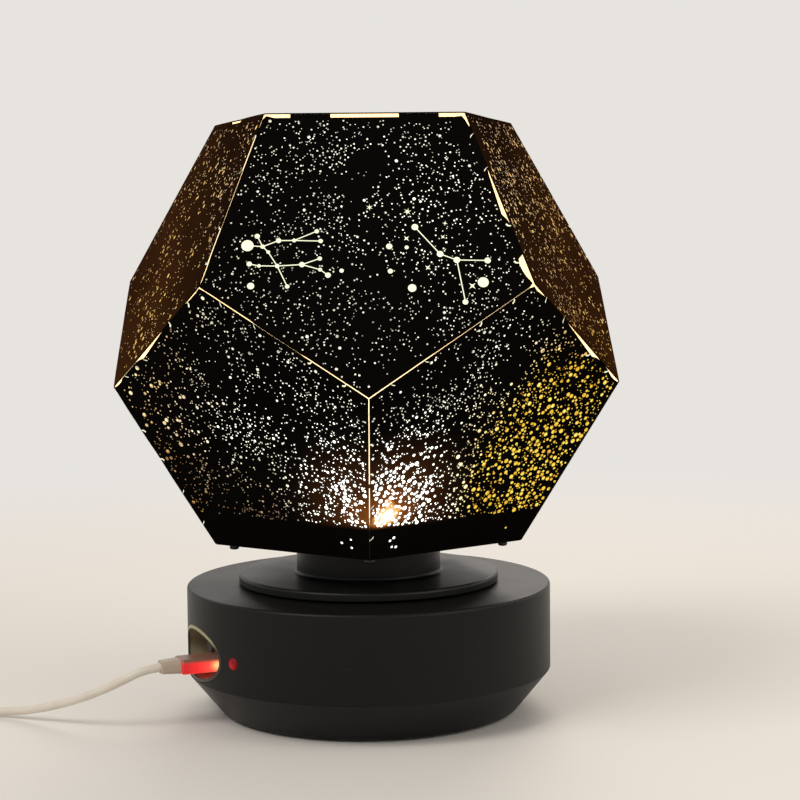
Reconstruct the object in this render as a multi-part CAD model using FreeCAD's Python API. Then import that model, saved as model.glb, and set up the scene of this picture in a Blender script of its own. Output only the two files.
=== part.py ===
"""Star-globe projector: a twelve-sided film globe on a motor-driven turntable base.

Millimetres, +Z up. The origin is the centre of the base's underside on the table, the front
is -Y, and an azimuth is measured from the front towards -X. One STEP file per sub-part.
"""
import FreeCAD
import Part
import math
import os

Vector = FreeCAD.Vector
UP = Vector(0, 0, 1)
AXIS = Vector(0, 0, 0)

# Globe of film panels
edge = 64.0
film = 0.4
film_gap = 0.5
top_gap = 1.4
tab_clearance = 0.12
tab_depth = 5.5
tab_taper = 1.6
tab_spans = ((0.13, 0.33), (0.67, 0.87))
low_tab_spans = ((0.27, 0.45), (0.67, 0.87))

# Tray under the globe
tray_floor = 1.8
tray_wall = 2.0
tray_rim = 11.5
tray_inset = 0.15
collar_wall = 1.8
collar_height = 2.4
rivet_radius = 1.0
rivet_head_radius = 1.6
rivet_head = 2.0
rivet_reach = 47.9

# Base housing
wall_radius = 62.9
foot_radius = 51.0
chamfer_height = 14.6
rim_height = 44.0
shell = 2.0
rim_rounding = 1.0
plate_thickness = 2.2
plate_gap = 0.25
foot_height = 1.0
foot_pad_radius = 5.0
foot_pad_recess = 0.6
foot_pad_reach = 40.0
foot_pad_count = 4

# Turntable and its bearing
deck_radius = 44.9
deck_thickness = 3.0
deck_lift = 0.6
washer_thickness = 0.5
neck_radius = 24.9
neck_wall = 3.4
neck_rise = 12.3
globe_lift_gap = 0.2
spigot_radius = 22.0
spigot_height = 3.6
hub_radius = 18.0
hub_wall = 3.5
running_clearance = 0.06
sleeve_wall = 3.0
sleeve_length = 10.7
body_clearance = 0.3
drive_key_width = 3.0
drive_key_height = 1.2
drive_key_count = 3

# Drive
gear_module = 0.8
gear_teeth = 80
pinion_teeth = 12
pressure_angle = math.radians(25.0)
backlash = 0.16
mesh_slack = 0.05
gear_width = 4.5
ring_groove = 0.7
ring_thickness = 1.0
ring_proud = 2.6
motor_angle = -15.0
motor_length = 15.0
motor_radius = 6.0
motor_flat = 10.0
gearbox_height = 9.0
gearbox_width = 12.0
shaft_radius = 1.5
shaft_depth = 4.0
bracket_wall = 1.8

# Lamp
post_radius = 8.0
post_bore = 6.4
post_foot_radius = 12.4
post_foot = 2.0
post_head_radius = 10.8
post_head = 1.5
lamp_height = 66.4
lamp_board_radius = 10.4
lamp_board_thickness = 1.2
emitter_size = 3.4
emitter_height = 2.0
emitter_reach = 7.0
emitter_count = 3

# Port recess, seen from outside along its own azimuth
port_azimuth = 68.5
recess_height = 24.0
recess_half_width = 18.7
recess_half_height = 9.2
recess_floor = 53.5
recess_wall = 1.2
recess_gap = 0.2
socket_height = 20.5
socket_width = 7.6
socket_thickness = 2.65
socket_depth = 5.6
socket_wall = 0.25
tongue_width = 5.2
tongue_thickness = 0.6
button_reach = 11.5
button_radius = 2.8
button_proud = 1.4
button_flange = 3.5
switch_axis = 4.5
switch_width = 6.0
switch_depth = 3.5
switch_tall = 7.0

# Indicator
lens_azimuth = 45.5
lens_height = 24.8
lens_radius = 2.0
lens_flange = 2.8
led_radius = 1.5
led_length = 5.5

# Electronics and power
board_thickness = 1.2
board_inner = 20.0
board_outer = 52.4
board_span = (33.0, 103.0)
board_posts = ((24.0, 68.5), (46.0, 38.5), (46.0, 98.0))
# Each chip's reach, azimuth, length, width and height
chip_places = ((38.0, 68.5, 5.0, 4.0, 1.5), (38.5, 80.0, 4.0, 3.2, 1.4), (38.0, 52.0, 5.0, 5.0, 2.6))
capacitor_place = (43.5, 89.0)
capacitor_radius = 2.5
capacitor_height = 5.4
# Each lead connector's reach and azimuth
connectors = ((30.5, 47.0), (30.0, 60.0), (30.0, 90.0))
battery_length = 48.0
battery_width = 30.0
battery_thickness = 6.0
battery_near = 13.4
lead_diameter = 1.2
lead_spacing = 1.6

# Fasteners
case_screw_radius = 1.45
case_screw_head = 2.8
case_screw_length = 9.0
case_screw_reach = 46.0
case_screw_angles = (30.0, 150.0, 270.0)
boss_radius = 3.4
small_screw_radius = 0.95
small_screw_head = 1.8
small_screw_length = 4.5
small_screw_head_height = 1.2

# Charging cable
cable_diameter = 3.0
plug_length = 15.2
plug_width = 10.6
plug_thickness = 5.0
plug_gap = 0.35
plug_nose = 5.0
plug_nose_width = 6.7
plug_nose_thickness = 1.8
relief_length = 6.3
relief_width = 7.0
relief_thickness = 4.8
coil_centre = (-163.0, 19.2)
coil_outer = 23.25
coil_inner = 12.75
coil_turns_in = 3.0
coil_turns_out = 2.75
coil_reversal = 0.5
layer_pitch = 3.45
tail_run = 20.0
host_plug_length = 22.0
host_plug_width = 15.6
host_plug_thickness = 8.0
host_shell_length = 18.75
host_shell_width = 12.0
host_shell_thickness = 4.5
host_relief_length = 8.0

# The cable's way from just outside the plug down to the table and along it to the coil
cable_route = (
    (-75.75, -29.84, 20.5),
    (-82.2, -30.9, 18.2),
    (-89.8, -29.2, 14.5),
    (-98.4, -25.3, 10.4),
    (-107.5, -20.2, 6.6),
    (-117.0, -14.8, 3.6),
    (-127.6, -9.6, 1.8),
    (-138.8, -5.9, 1.55),
    (-150.6, -4.05, 1.55),
)

# Sizes that follow from the ones above
golden = (1.0 + math.sqrt(5.0)) / 2.0
end_ring = edge / (2.0 * math.sin(math.radians(36.0)))
middle_ring = golden * end_ring
ring_step = middle_ring - end_ring
end_rise = math.sqrt(edge ** 2 - ring_step ** 2)
middle_rise = math.sqrt(edge ** 2 - (2.0 * middle_ring * math.sin(math.radians(18.0))) ** 2)
face_tilt = math.pi - math.acos(-1.0 / math.sqrt(5.0))
mitre = 1.0 / math.tan((math.pi - face_tilt) / 2.0)
hub_bore = hub_radius - hub_wall
deck_bottom = rim_height + deck_lift
deck_top = deck_bottom + deck_thickness
globe_bottom = deck_top + neck_rise
tray_bottom = globe_bottom + film + 0.1
neck_top = tray_bottom - globe_lift_gap
ring_heights = (
    globe_bottom,
    globe_bottom + end_rise,
    globe_bottom + end_rise + middle_rise,
    globe_bottom + 2.0 * end_rise + middle_rise,
)
plate_bottom = foot_height
plate_top = plate_bottom + plate_thickness
sleeve_bottom = rim_height - sleeve_length
gear_top = sleeve_bottom - body_clearance
gear_bottom = gear_top - gear_width
gear_pitch = gear_module * gear_teeth / 2.0
pinion_pitch = gear_module * pinion_teeth / 2.0
pinion_reach = gear_pitch + pinion_pitch + mesh_slack
gearbox_top = gear_bottom - 1.1
board_top = socket_height - socket_thickness / 2.0
board_bottom = board_top - board_thickness
button_height = board_top + switch_axis
recess_back = recess_floor - 1.5
switch_face = recess_back - 2.2
board_flat = recess_back - 0.5
plug_start = recess_floor + plug_gap


def polar(radius, degrees, height=0.0):
    """Point at an ordinary plan angle, anticlockwise from +X."""
    angle = math.radians(degrees)
    return Vector(radius * math.cos(angle), radius * math.sin(angle), height)


def azimuth_angle(azimuth):
    """Plan angle of an azimuth, which runs from the front towards -X."""
    return -90.0 - azimuth


def turned(shape, degrees):
    """Copy of a shape turned about the vertical axis."""
    copy = shape.copy()
    copy.rotate(AXIS, UP, degrees)
    return copy


def at_azimuth(shape, azimuth):
    """Shape modelled with +X pointing outwards, turned to look out at an azimuth."""
    return turned(shape, azimuth_angle(azimuth))


def cylinder(radius, bottom, top, centre=AXIS):
    return Part.makeCylinder(radius, top - bottom, Vector(centre.x, centre.y, bottom), UP)


def tube_ring(outer, inner, bottom, top, centre=AXIS):
    return cylinder(outer, bottom, top, centre).cut(cylinder(inner, bottom - 1.0, top + 1.0, centre))


def rod(radius, start, end):
    direction = end - start
    return Part.makeCylinder(radius, direction.Length, start, direction)


def block(low, high):
    size = Vector(*high) - Vector(*low)
    return Part.makeBox(size.x, size.y, size.z, Vector(*low))


def polygon_face(points):
    return Part.Face(Part.makePolygon(list(points) + [points[0]]))


def rounded_wire(corners, place):
    """Closed outline of lines and arcs through corners (x, y, rounding), placed by a function."""
    flat = [Vector(x, y, 0) for x, y, rounding in corners]
    ends = []
    for index, (x, y, rounding) in enumerate(corners):
        here = flat[index]
        before = (flat[index - 1] - here).normalize()
        after = (flat[(index + 1) % len(flat)] - here).normalize()
        if rounding <= 0:
            ends.append((here, None, here))
            continue
        half = before.getAngle(after) / 2.0
        reach = rounding / math.tan(half)
        inward = (before + after).normalize()
        middle = here + inward * (rounding / math.sin(half) - rounding)
        ends.append((here + before * reach, middle, here + after * reach))
    edges = []
    for index, (start, middle, end) in enumerate(ends):
        if middle is not None:
            arc = Part.Arc(place(start), place(middle), place(end))
            edges.append(arc.toShape())
        following = ends[(index + 1) % len(ends)][0]
        if (following - end).Length > 1e-6:
            edges.append(Part.LineSegment(place(end), place(following)).toShape())
    return Part.Wire(edges)


def revolved(corners):
    """Solid of revolution about the vertical axis from corners (radius, height, rounding)."""
    wire = rounded_wire(corners, lambda p: Vector(p.x, 0, p.y))
    return Part.Face(wire).revolve(AXIS, UP, 360)


def rounded_bar(start, end, width, thickness, rounding, centre_y=0.0, centre_z=0.0):
    """Bar along +X with a rounded rectangular section."""
    half_w = width / 2.0
    half_t = thickness / 2.0
    corners = (
        (-half_w, -half_t, rounding),
        (half_w, -half_t, rounding),
        (half_w, half_t, rounding),
        (-half_w, half_t, rounding),
    )
    wire = rounded_wire(corners, lambda p: Vector(start, centre_y + p.x, centre_z + p.y))
    return Part.Face(wire).extrude(Vector(end - start, 0, 0))


def tapered_bar(start, end, start_size, end_size, rounding, centre_z=0.0):
    """Bar along +X that narrows from one rounded rectangle (width, thickness) to another."""
    wires = []
    for x, (width, thickness) in ((start, start_size), (end, end_size)):
        half_w = width / 2.0
        half_t = thickness / 2.0
        corners = (
            (-half_w, -half_t, rounding),
            (half_w, -half_t, rounding),
            (half_w, half_t, rounding),
            (-half_w, half_t, rounding),
        )
        wires.append(rounded_wire(corners, lambda p, x=x: Vector(x, p.x, centre_z + p.y)))
    return Part.makeLoft(wires, True, True)


def save(shape, node):
    """Write one sub-part and report its solids."""
    shape = shape.removeSplitter() if len(shape.Solids) == 1 else shape
    state = "ok" if shape.isValid() and shape.Solids else "BAD"
    print("%-22s %s solids %d volume %.1f" % (node, state, len(shape.Solids), shape.Volume))
    shape.exportStep("parts/%s.step" % node)


# Film globe

def globe_corners():
    """Corners of the twelve-sided globe as four rings of five."""
    turns = (-90.0, -90.0, -54.0, -54.0)
    radii = (end_ring, middle_ring, middle_ring, end_ring)
    rings = []
    for turn, radius, height in zip(turns, radii, ring_heights):
        rings.append([polar(radius, turn + 72.0 * k, height) for k in range(5)])
    return rings


def globe_centre():
    return Vector(0, 0, (ring_heights[0] + ring_heights[3]) / 2.0)


def facing(points):
    """Points in anticlockwise order seen from outside the globe, and the outward normal."""
    normal = (points[1] - points[0]).cross(points[2] - points[1]).normalize()
    middle = sum(points, Vector()) * (1.0 / len(points))
    if normal.dot(middle - globe_centre()) < 0:
        return facing(list(reversed(points)))
    return points, normal


def inset(points, normal, margins, depth):
    """The outline moved inwards along the face by one margin an edge, and in by a depth."""
    lines = []
    count = len(points)
    for index in range(count):
        along = (points[(index + 1) % count] - points[index]).normalize()
        inward = normal.cross(along)
        lines.append((points[index] + inward * margins[index], along))
    result = []
    for index in range(count):
        origin, along = lines[index - 1]
        other, beside = lines[index]
        across = normal.cross(beside)
        step = (other - origin).dot(across) / along.dot(across)
        result.append(origin + along * step - normal * depth)
    return result


def film_plate(points, normal, margins):
    """Flat film panel with mitred edges."""
    outer = inset(points, normal, margins, 0.0)
    inner = inset(points, normal, [m + film * mitre for m in margins], film)
    wires = [Part.makePolygon(ring + [ring[0]]) for ring in (outer, inner)]
    return Part.makeLoft(wires, True, True)


def fold_tab(start, end, neighbour, span):
    """Tab folded behind the neighbouring panel along part of the shared edge."""
    points, normal = neighbour
    along = (end - start).normalize()
    middle = sum(points, Vector()) * (1.0 / len(points))
    inward = normal.cross(along)
    if inward.dot(middle - start) < 0:
        inward = inward * -1.0
    layer = start - normal * (film + tab_clearance)
    root = -0.1
    length = (end - start).Length
    low = span[0] * length
    high = span[1] * length
    outline = (
        layer + along * low + inward * root,
        layer + along * high + inward * root,
        layer + along * (high - tab_taper) + inward * tab_depth,
        layer + along * (low + tab_taper) + inward * tab_depth,
    )
    return polygon_face(outline).extrude(normal * -film)


def film_panels():
    """The film panels by node name, each with the tabs that it folds behind its neighbours."""
    low, low_mid, high_mid, high = globe_corners()
    lower = []
    upper = []
    for k in range(5):
        after = (k + 1) % 5
        lower.append(facing([low[k], low[after], low_mid[after], high_mid[k], low_mid[k]]))
        before = (k - 1) % 5
        upper.append(facing([high[before], high[k], high_mid[k], low_mid[k], high_mid[before]]))
    top = facing(high)
    side = film_gap / 2.0
    panels = {}

    def edges_of(face):
        points = face[0]
        return [(points[i], points[(i + 1) % len(points)]) for i in range(len(points))]

    def shares(face, start, end):
        near = [p for p in face[0] if (p - start).Length < 1e-6 or (p - end).Length < 1e-6]
        return len(near) == 2

    top_plate = film_plate(top[0], top[1], [0.0] * 5)
    for start, end in edges_of(top):
        for face in upper:
            if shares(face, start, end):
                for span in tab_spans:
                    top_plate = top_plate.fuse(fold_tab(start, end, face, span))
    panels["film_top"] = top_plate

    for k in range(5):
        face = upper[k]
        margins = []
        plate_edges = edges_of(face)
        for start, end in plate_edges:
            margins.append(top_gap if shares(top, start, end) else side)
        plate = film_plate(face[0], face[1], margins)
        for start, end in plate_edges:
            for other in lower + [upper[(k + 1) % 5]]:
                if shares(other, start, end):
                    for span in tab_spans:
                        plate = plate.fuse(fold_tab(start, end, other, span))
        panels["film_upper_%d" % (k + 1)] = plate

    for k in range(5):
        face = lower[k]
        plate = film_plate(face[0], face[1], [side] * 5)
        neighbour = lower[(k + 1) % 5]
        for start, end in edges_of(face):
            if shares(neighbour, start, end):
                if start.z > end.z:
                    start, end = end, start
                for span in low_tab_spans:
                    plate = plate.fuse(fold_tab(start, end, neighbour, span))
        panels["film_lower_%d" % (k + 1)] = plate
    return panels


def bottom_film():
    """Bottom film ring, pinned under the tray around the neck."""
    low = globe_corners()[0]
    points, normal = facing(low)
    plate = film_plate(points, normal, [film_gap / 2.0] * 5)
    hole = cylinder(neck_radius + body_clearance, globe_bottom - 1.0, globe_bottom + 2.0)
    plate = plate.cut(hole)
    for centre in rivet_places():
        plate = plate.cut(cylinder(rivet_radius + 0.1, globe_bottom - 1.0, globe_bottom + 2.0, centre))
    return plate


def rivet_places():
    return [polar(rivet_reach, -90.0 + 72.0 * k) for k in range(5)]


def lower_pentagon(height, depth):
    """Outline at a height inside the lower panels, at a depth behind their outer faces."""
    slope = ring_step / end_rise
    radius = end_ring + slope * (height - globe_bottom)
    inner = radius - depth / math.sin(face_tilt) / math.cos(math.radians(36.0))
    points = [polar(inner, -90.0 + 72.0 * k, height) for k in range(5)]
    return Part.makePolygon(points + [points[0]])


def globe_tray():
    """Pentagonal dish that holds the lower panels and sits on the turntable's neck."""
    rim = globe_bottom + tray_rim
    floor_top = tray_bottom + tray_floor
    skin = film + tray_inset
    outer = Part.makeLoft([lower_pentagon(tray_bottom, skin), lower_pentagon(rim, skin)], True, True)
    depth = skin + tray_wall
    hollow = Part.makeLoft([lower_pentagon(floor_top, depth), lower_pentagon(rim + 1.0, depth)], True, True)
    tray = outer.cut(hollow)
    collar_inner = spigot_radius + body_clearance
    tray = tray.fuse(cylinder(collar_inner + collar_wall, tray_bottom, floor_top + collar_height))
    tray = tray.cut(cylinder(collar_inner, tray_bottom - 1.0, rim))
    slot_reach = spigot_radius + drive_key_height + body_clearance
    slot_half = drive_key_width / 2.0 + body_clearance
    for k in range(drive_key_count):
        slot = block((0, -slot_half, tray_bottom - 1.0), (slot_reach, slot_half, rim))
        tray = tray.cut(turned(slot, 360.0 / drive_key_count * k))
    for centre in rivet_places():
        tray = tray.cut(cylinder(rivet_radius + 0.1, tray_bottom - 1.0, floor_top + 1.0, centre))
    return tray


def press_rivets():
    """Snap rivets that pin the bottom film to the tray at its corners."""
    floor_top = tray_bottom + tray_floor
    rivets = []
    for centre in rivet_places():
        head = cylinder(rivet_head_radius, globe_bottom - rivet_head, globe_bottom - 0.02, centre)
        bottom_edges = [e for e in head.Edges if e.BoundBox.ZMax < globe_bottom - rivet_head + 0.01]
        head = head.makeFillet(0.7, bottom_edges)
        shank = cylinder(rivet_radius, globe_bottom - 0.5, floor_top + 0.5, centre)
        barb = Part.makeCone(rivet_radius + 0.35, rivet_radius - 0.4, 1.4,
                             Vector(centre.x, centre.y, floor_top + 0.05), UP)
        rivets.append(head.fuse([shank, barb]))
    return Part.makeCompound(rivets)


# Turntable

def turntable():
    """Deck, hollow neck with its spigot, and the hub that turns in the housing's sleeve."""
    hub_bottom = gear_bottom - ring_thickness - 1.0
    spigot_top = neck_top + spigot_height
    hub = hub_radius - running_clearance
    neck_bore = neck_radius - neck_wall
    body = revolved((
        (hub_bore, hub_bottom, 0),
        (hub, hub_bottom, 0.4),
        (hub, deck_bottom, 0),
        (deck_radius, deck_bottom, 0.4),
        (deck_radius, deck_top, 0.9),
        (neck_radius, deck_top, 1.2),
        (neck_radius, neck_top, 0.3),
        (spigot_radius, neck_top, 0),
        (spigot_radius, spigot_top, 0.5),
        (spigot_radius - 2.0, spigot_top, 0.3),
        (spigot_radius - 2.0, deck_top + 2.0, 0),
        (hub_bore, deck_top, 0),
    ))
    key_reach = spigot_radius + drive_key_height
    key_half = drive_key_width / 2.0
    for k in range(drive_key_count):
        key = block((neck_bore - 0.5, -key_half, neck_top - 0.5), (key_reach, key_half, spigot_top - 1.0))
        body = body.fuse(turned(key, 360.0 / drive_key_count * k))
        gear_key = block((hub_bore + 1.0, -1.0, hub_bottom + 0.5), (hub + 1.0, 1.0, gear_top))
        body = body.fuse(turned(gear_key, 360.0 / drive_key_count * k + 60.0))
    groove_top = gear_bottom - 0.05
    groove = tube_ring(hub + 5.0, hub - ring_groove, groove_top - ring_thickness - 0.1, groove_top)
    return body.cut(groove)


def tooth_outline(teeth, thinning):
    """Closed involute outline of a spur gear with one tooth centred on +X."""
    pitch = gear_module * teeth / 2.0
    base = pitch * math.cos(pressure_angle)
    tip = pitch + gear_module * 0.95
    root = pitch - gear_module * 1.2
    start = max(base, root)

    def involute(radius):
        angle = math.acos(min(1.0, base / radius))
        return math.tan(angle) - angle

    half = math.pi / (2.0 * teeth) - thinning / (2.0 * pitch) + involute(pitch)
    steps = 5
    radii = [start + (tip - start) * k / (steps - 1.0) for k in range(steps)]
    step = 2.0 * math.pi / teeth
    edges = []
    for tooth in range(teeth):
        centre = tooth * step
        rising = [polar(r, math.degrees(centre - half + involute(r))) for r in radii]
        falling = [polar(r, math.degrees(centre + half - involute(r))) for r in reversed(radii)]
        left = Part.BSplineCurve()
        left.interpolate(rising)
        right = Part.BSplineCurve()
        right.interpolate(falling)
        foot = polar(root, math.degrees(centre - half))
        if start > root:
            edges.append(Part.LineSegment(foot, rising[0]).toShape())
        edges.append(left.toShape())
        edges.append(Part.Arc(rising[-1], polar(tip, math.degrees(centre)), falling[0]).toShape())
        edges.append(right.toShape())
        heel = polar(root, math.degrees(centre + half))
        if start > root:
            edges.append(Part.LineSegment(falling[-1], heel).toShape())
        else:
            heel = falling[-1]
        following = polar(root, math.degrees(centre + step - half))
        if start <= root:
            following = polar(radii[0], math.degrees(centre + step - half + involute(radii[0])))
        valley = polar(root, math.degrees(centre + step / 2.0))
        edges.append(Part.Arc(heel, valley, following).toShape())
    return Part.Wire(edges)


def spur_gear(teeth, bottom, top):
    face = Part.Face(tooth_outline(teeth, backlash / 2.0))
    gear = face.extrude(Vector(0, 0, top - bottom))
    gear.translate(Vector(0, 0, bottom))
    return gear


def drive_gear():
    """Spur gear keyed on the hub under the bearing sleeve."""
    gear = spur_gear(gear_teeth, gear_bottom, gear_top)
    gear = turned(gear, motor_angle)
    gear = gear.cut(cylinder(hub_radius, gear_bottom - 1.0, gear_top + 1.0))
    for k in range(drive_key_count):
        slot = block((0, -1.05, gear_bottom - 1.0), (hub_radius + 1.05, 1.05, gear_top + 1.0))
        gear = gear.cut(turned(slot, 360.0 / drive_key_count * k + 60.0))
    for k in range(6):
        hole = cylinder(2.6, gear_bottom - 1.0, gear_top + 1.0, polar(25.4, 60.0 * k))
        gear = gear.cut(hole)
    return gear


def retaining_ring():
    """Open spring ring in the hub's groove that holds the turntable down."""
    inner = hub_radius - ring_groove
    bottom = gear_bottom - 0.1 - ring_thickness
    ring = tube_ring(inner + ring_proud, inner, bottom, bottom + ring_thickness)
    mouth = block((inner - 2.0, -3.0, bottom - 1.0), (inner + 6.0, 3.0, bottom + 3.0))
    return ring.cut(mouth)


def thrust_washer():
    inner = hub_radius + sleeve_wall + 1.0
    return tube_ring(inner + 6.0, inner, rim_height, rim_height + washer_thickness)


# Base housing

def recess_ellipse(grow, start, end):
    """Elliptical prism along the port's outward axis, before it is turned to its azimuth."""
    major = recess_half_width + grow
    minor = recess_half_height + grow
    ellipse = Part.Ellipse(AXIS, major, minor)
    face = Part.Face(Part.Wire(ellipse.toShape()))
    face.rotate(AXIS, Vector(1, 0, 0), 90)
    face.rotate(AXIS, UP, 90)
    face.translate(Vector(start, 0, recess_height))
    return face.extrude(Vector(end - start, 0, 0))


def base_housing():
    """One-piece shell: chamfered foot, round wall, top plate, bearing sleeve and screw bosses."""
    slope = (wall_radius - foot_radius) / chamfer_height
    skirt = foot_radius + slope * plate_bottom
    lip = skirt - shell
    ceiling = rim_height - shell
    sleeve_outer = hub_radius + sleeve_wall
    inner_wall = wall_radius - shell
    side = shell * math.sqrt(1.0 + slope ** 2)
    body = revolved((
        (hub_radius, sleeve_bottom, 0.3),
        (sleeve_outer, sleeve_bottom, 0),
        (sleeve_outer, ceiling, 1.0),
        (inner_wall, ceiling, 1.0),
        (inner_wall, chamfer_height + 0.8, 1.0),
        (skirt + slope * plate_thickness - side, plate_top + 0.2, 0),
        (lip, plate_bottom, 0),
        (skirt, plate_bottom, 0.5),
        (wall_radius, chamfer_height, 0.8),
        (wall_radius, rim_height, rim_rounding),
        (hub_radius, rim_height, 0.4),
    ))
    for angle in case_screw_angles:
        centre = polar(case_screw_reach, angle)
        boss = cylinder(boss_radius, plate_top + 0.05, ceiling + 0.5, centre)
        pilot = cylinder(case_screw_radius - 0.1, plate_top - 1.0, plate_top + case_screw_length, centre)
        body = body.fuse(boss).cut(pilot)
    hole = recess_ellipse(recess_gap, recess_back - 1.0, wall_radius + 5.0)
    body = body.cut(at_azimuth(hole, port_azimuth))
    lens_hole = rod(lens_radius + 0.1, Vector(50, 0, lens_height), Vector(70, 0, lens_height))
    return body.cut(at_azimuth(lens_hole, lens_azimuth))


def base_plate():
    """Bottom plate with foot pockets and the posts that carry the board."""
    slope = (wall_radius - foot_radius) / chamfer_height
    edge_radius = foot_radius + slope * plate_bottom - shell - plate_gap
    plate = revolved((
        (0, plate_bottom, 0),
        (edge_radius, plate_bottom, 0.3),
        (edge_radius, plate_top, 0.3),
        (0, plate_top, 0),
    ))
    for reach, azimuth in board_posts:
        centre = polar(reach, azimuth_angle(azimuth))
        plate = plate.fuse(cylinder(2.6, plate_top - 0.5, board_bottom, centre))
        plate = plate.cut(cylinder(small_screw_radius - 0.1, board_bottom - small_screw_length,
                                   board_bottom + 1.0, centre))
    for centre in foot_places():
        plate = plate.cut(cylinder(foot_pad_radius + 0.1, 0, plate_bottom + foot_pad_recess, centre))
    for angle in case_screw_angles:
        centre = polar(case_screw_reach, angle)
        plate = plate.cut(cylinder(case_screw_radius + 0.2, 0, plate_top + 1.0, centre))
        plate = plate.cut(cylinder(case_screw_head + 0.2, 0, plate_bottom + 1.1, centre))
    for centre, bottom in post_screw_places() + motor_screw_places():
        plate = plate.cut(cylinder(small_screw_radius - 0.1, plate_bottom + 0.6, plate_top + 1.0, centre))
    return plate


def foot_places():
    return [polar(foot_pad_reach, 45.0 + 360.0 / foot_pad_count * k) for k in range(foot_pad_count)]


def rubber_feet():
    feet = []
    for centre in foot_places():
        pad = revolved((
            (0, 0, 0),
            (foot_pad_radius - 0.5, 0, 0.3),
            (foot_pad_radius, foot_height * 0.6, 0),
            (foot_pad_radius, plate_bottom + foot_pad_recess, 0),
            (0, plate_bottom + foot_pad_recess, 0),
        ))
        pad.translate(centre)
        feet.append(pad)
    return Part.makeCompound(feet)


def screw(centre, seat, radius, head_radius, head_height, length, points_up):
    """Pan-head screw with a cross recess; seat is the height of the head's underside."""
    sign = 1.0 if points_up else -1.0
    direction = Vector(0, 0, sign)
    base = Vector(centre.x, centre.y, seat)
    shank = Part.makeCylinder(radius, length, base - direction * 0.2, direction)
    head = Part.makeCylinder(head_radius, head_height, base, direction * -1.0)
    far = seat - sign * head_height
    rim = [e for e in head.Edges if abs(e.BoundBox.ZMin - far) < 1e-4 and abs(e.BoundBox.ZMax - far) < 1e-4]
    head = head.makeFillet(head_height * 0.35, rim)
    width = head_radius * 0.3
    reach = head_radius * 0.6
    low = min(far, far + sign * head_height * 0.5)
    high = max(far, far + sign * head_height * 0.5)
    cross = block((-reach, -width / 2, low), (reach, width / 2, high))
    cross = cross.fuse(block((-width / 2, -reach, low), (width / 2, reach, high)))
    cross.translate(Vector(centre.x, centre.y, 0))
    return head.fuse(shank).cut(cross)


def case_screws():
    seat = plate_bottom + 1.1
    screws = [
        screw(polar(case_screw_reach, angle), seat, case_screw_radius - 0.15, case_screw_head, 1.0,
              case_screw_length, True)
        for angle in case_screw_angles
    ]
    return Part.makeCompound(screws)


def small_screws(places):
    """Small screws driven downwards; a place is the centre and the height of the head's seat."""
    screws = [
        screw(centre, seat, small_screw_radius - 0.15, small_screw_head, small_screw_head_height, length, False)
        for centre, seat, length in places
    ]
    return Part.makeCompound(screws)


# Port recess and electronics

def port_recess():
    """Recessed cup in the wall, with openings for the socket and the two buttons."""
    outer = recess_ellipse(0.0, recess_back, wall_radius + 5.0)
    inner = recess_ellipse(-recess_wall, recess_floor, wall_radius + 6.0)
    cup = outer.cut(inner)
    cup = cup.common(cylinder(wall_radius - 0.05, 0, rim_height))
    slot = rounded_bar(recess_back - 1.0, recess_floor + 1.0, socket_width + 0.4, socket_thickness + 0.4,
                       0.9, 0.0, socket_height)
    cup = cup.cut(slot)
    for side in (-1.0, 1.0):
        hole = rod(button_radius + 0.15, Vector(recess_back - 1.0, side * button_reach, button_height),
                   Vector(recess_floor + 1.0, side * button_reach, button_height))
        cup = cup.cut(hole)
    return at_azimuth(cup, port_azimuth)


def push_button(side):
    """Button cap with a captive flange and the stem that works its switch."""
    y = side * button_reach

    def along(start, end, radius):
        return rod(radius, Vector(start, y, button_height), Vector(end, y, button_height))

    tip = recess_floor + button_proud
    cap = along(recess_back - 0.3, tip, button_radius)
    face_edges = [e for e in cap.Edges if e.BoundBox.XMin > tip - 0.01]
    cap = cap.makeFillet(0.5, face_edges)
    flange = along(recess_back - 1.0, recess_back - 0.1, button_flange)
    stem = along(switch_face - 0.7, recess_back - 0.8, 1.35)
    return at_azimuth(cap.fuse([flange, stem]), port_azimuth)


def button_switches():
    """Two right-angle push switches on the board behind the buttons."""
    switches = []
    for side in (-1.0, 1.0):
        y = side * button_reach
        half = switch_width / 2.0
        body = block((switch_face - switch_depth, y - half, board_top),
                     (switch_face, y + half, board_top + switch_tall))
        hole = rod(1.6, Vector(switch_face - 1.5, y, button_height), Vector(switch_face + 1.0, y, button_height))
        switches.append(body.cut(hole))
    return at_azimuth(Part.makeCompound(switches), port_azimuth)


def usb_socket():
    """Small charging socket: a thin metal shell, its back and the contact tongue."""
    mouth = recess_floor - 0.3
    back = mouth - socket_depth
    shell_bar = rounded_bar(back, mouth, socket_width, socket_thickness, 0.6, 0.0, socket_height)
    cavity = rounded_bar(back + 0.6, mouth + 1.0, socket_width - 2 * socket_wall,
                         socket_thickness - 2 * socket_wall, 0.4, 0.0, socket_height)
    tongue = rounded_bar(back + 0.3, mouth - 0.6, tongue_width, tongue_thickness, 0.1, 0.0, socket_height)
    return at_azimuth(shell_bar.cut(cavity).fuse(tongue), port_azimuth)


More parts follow.
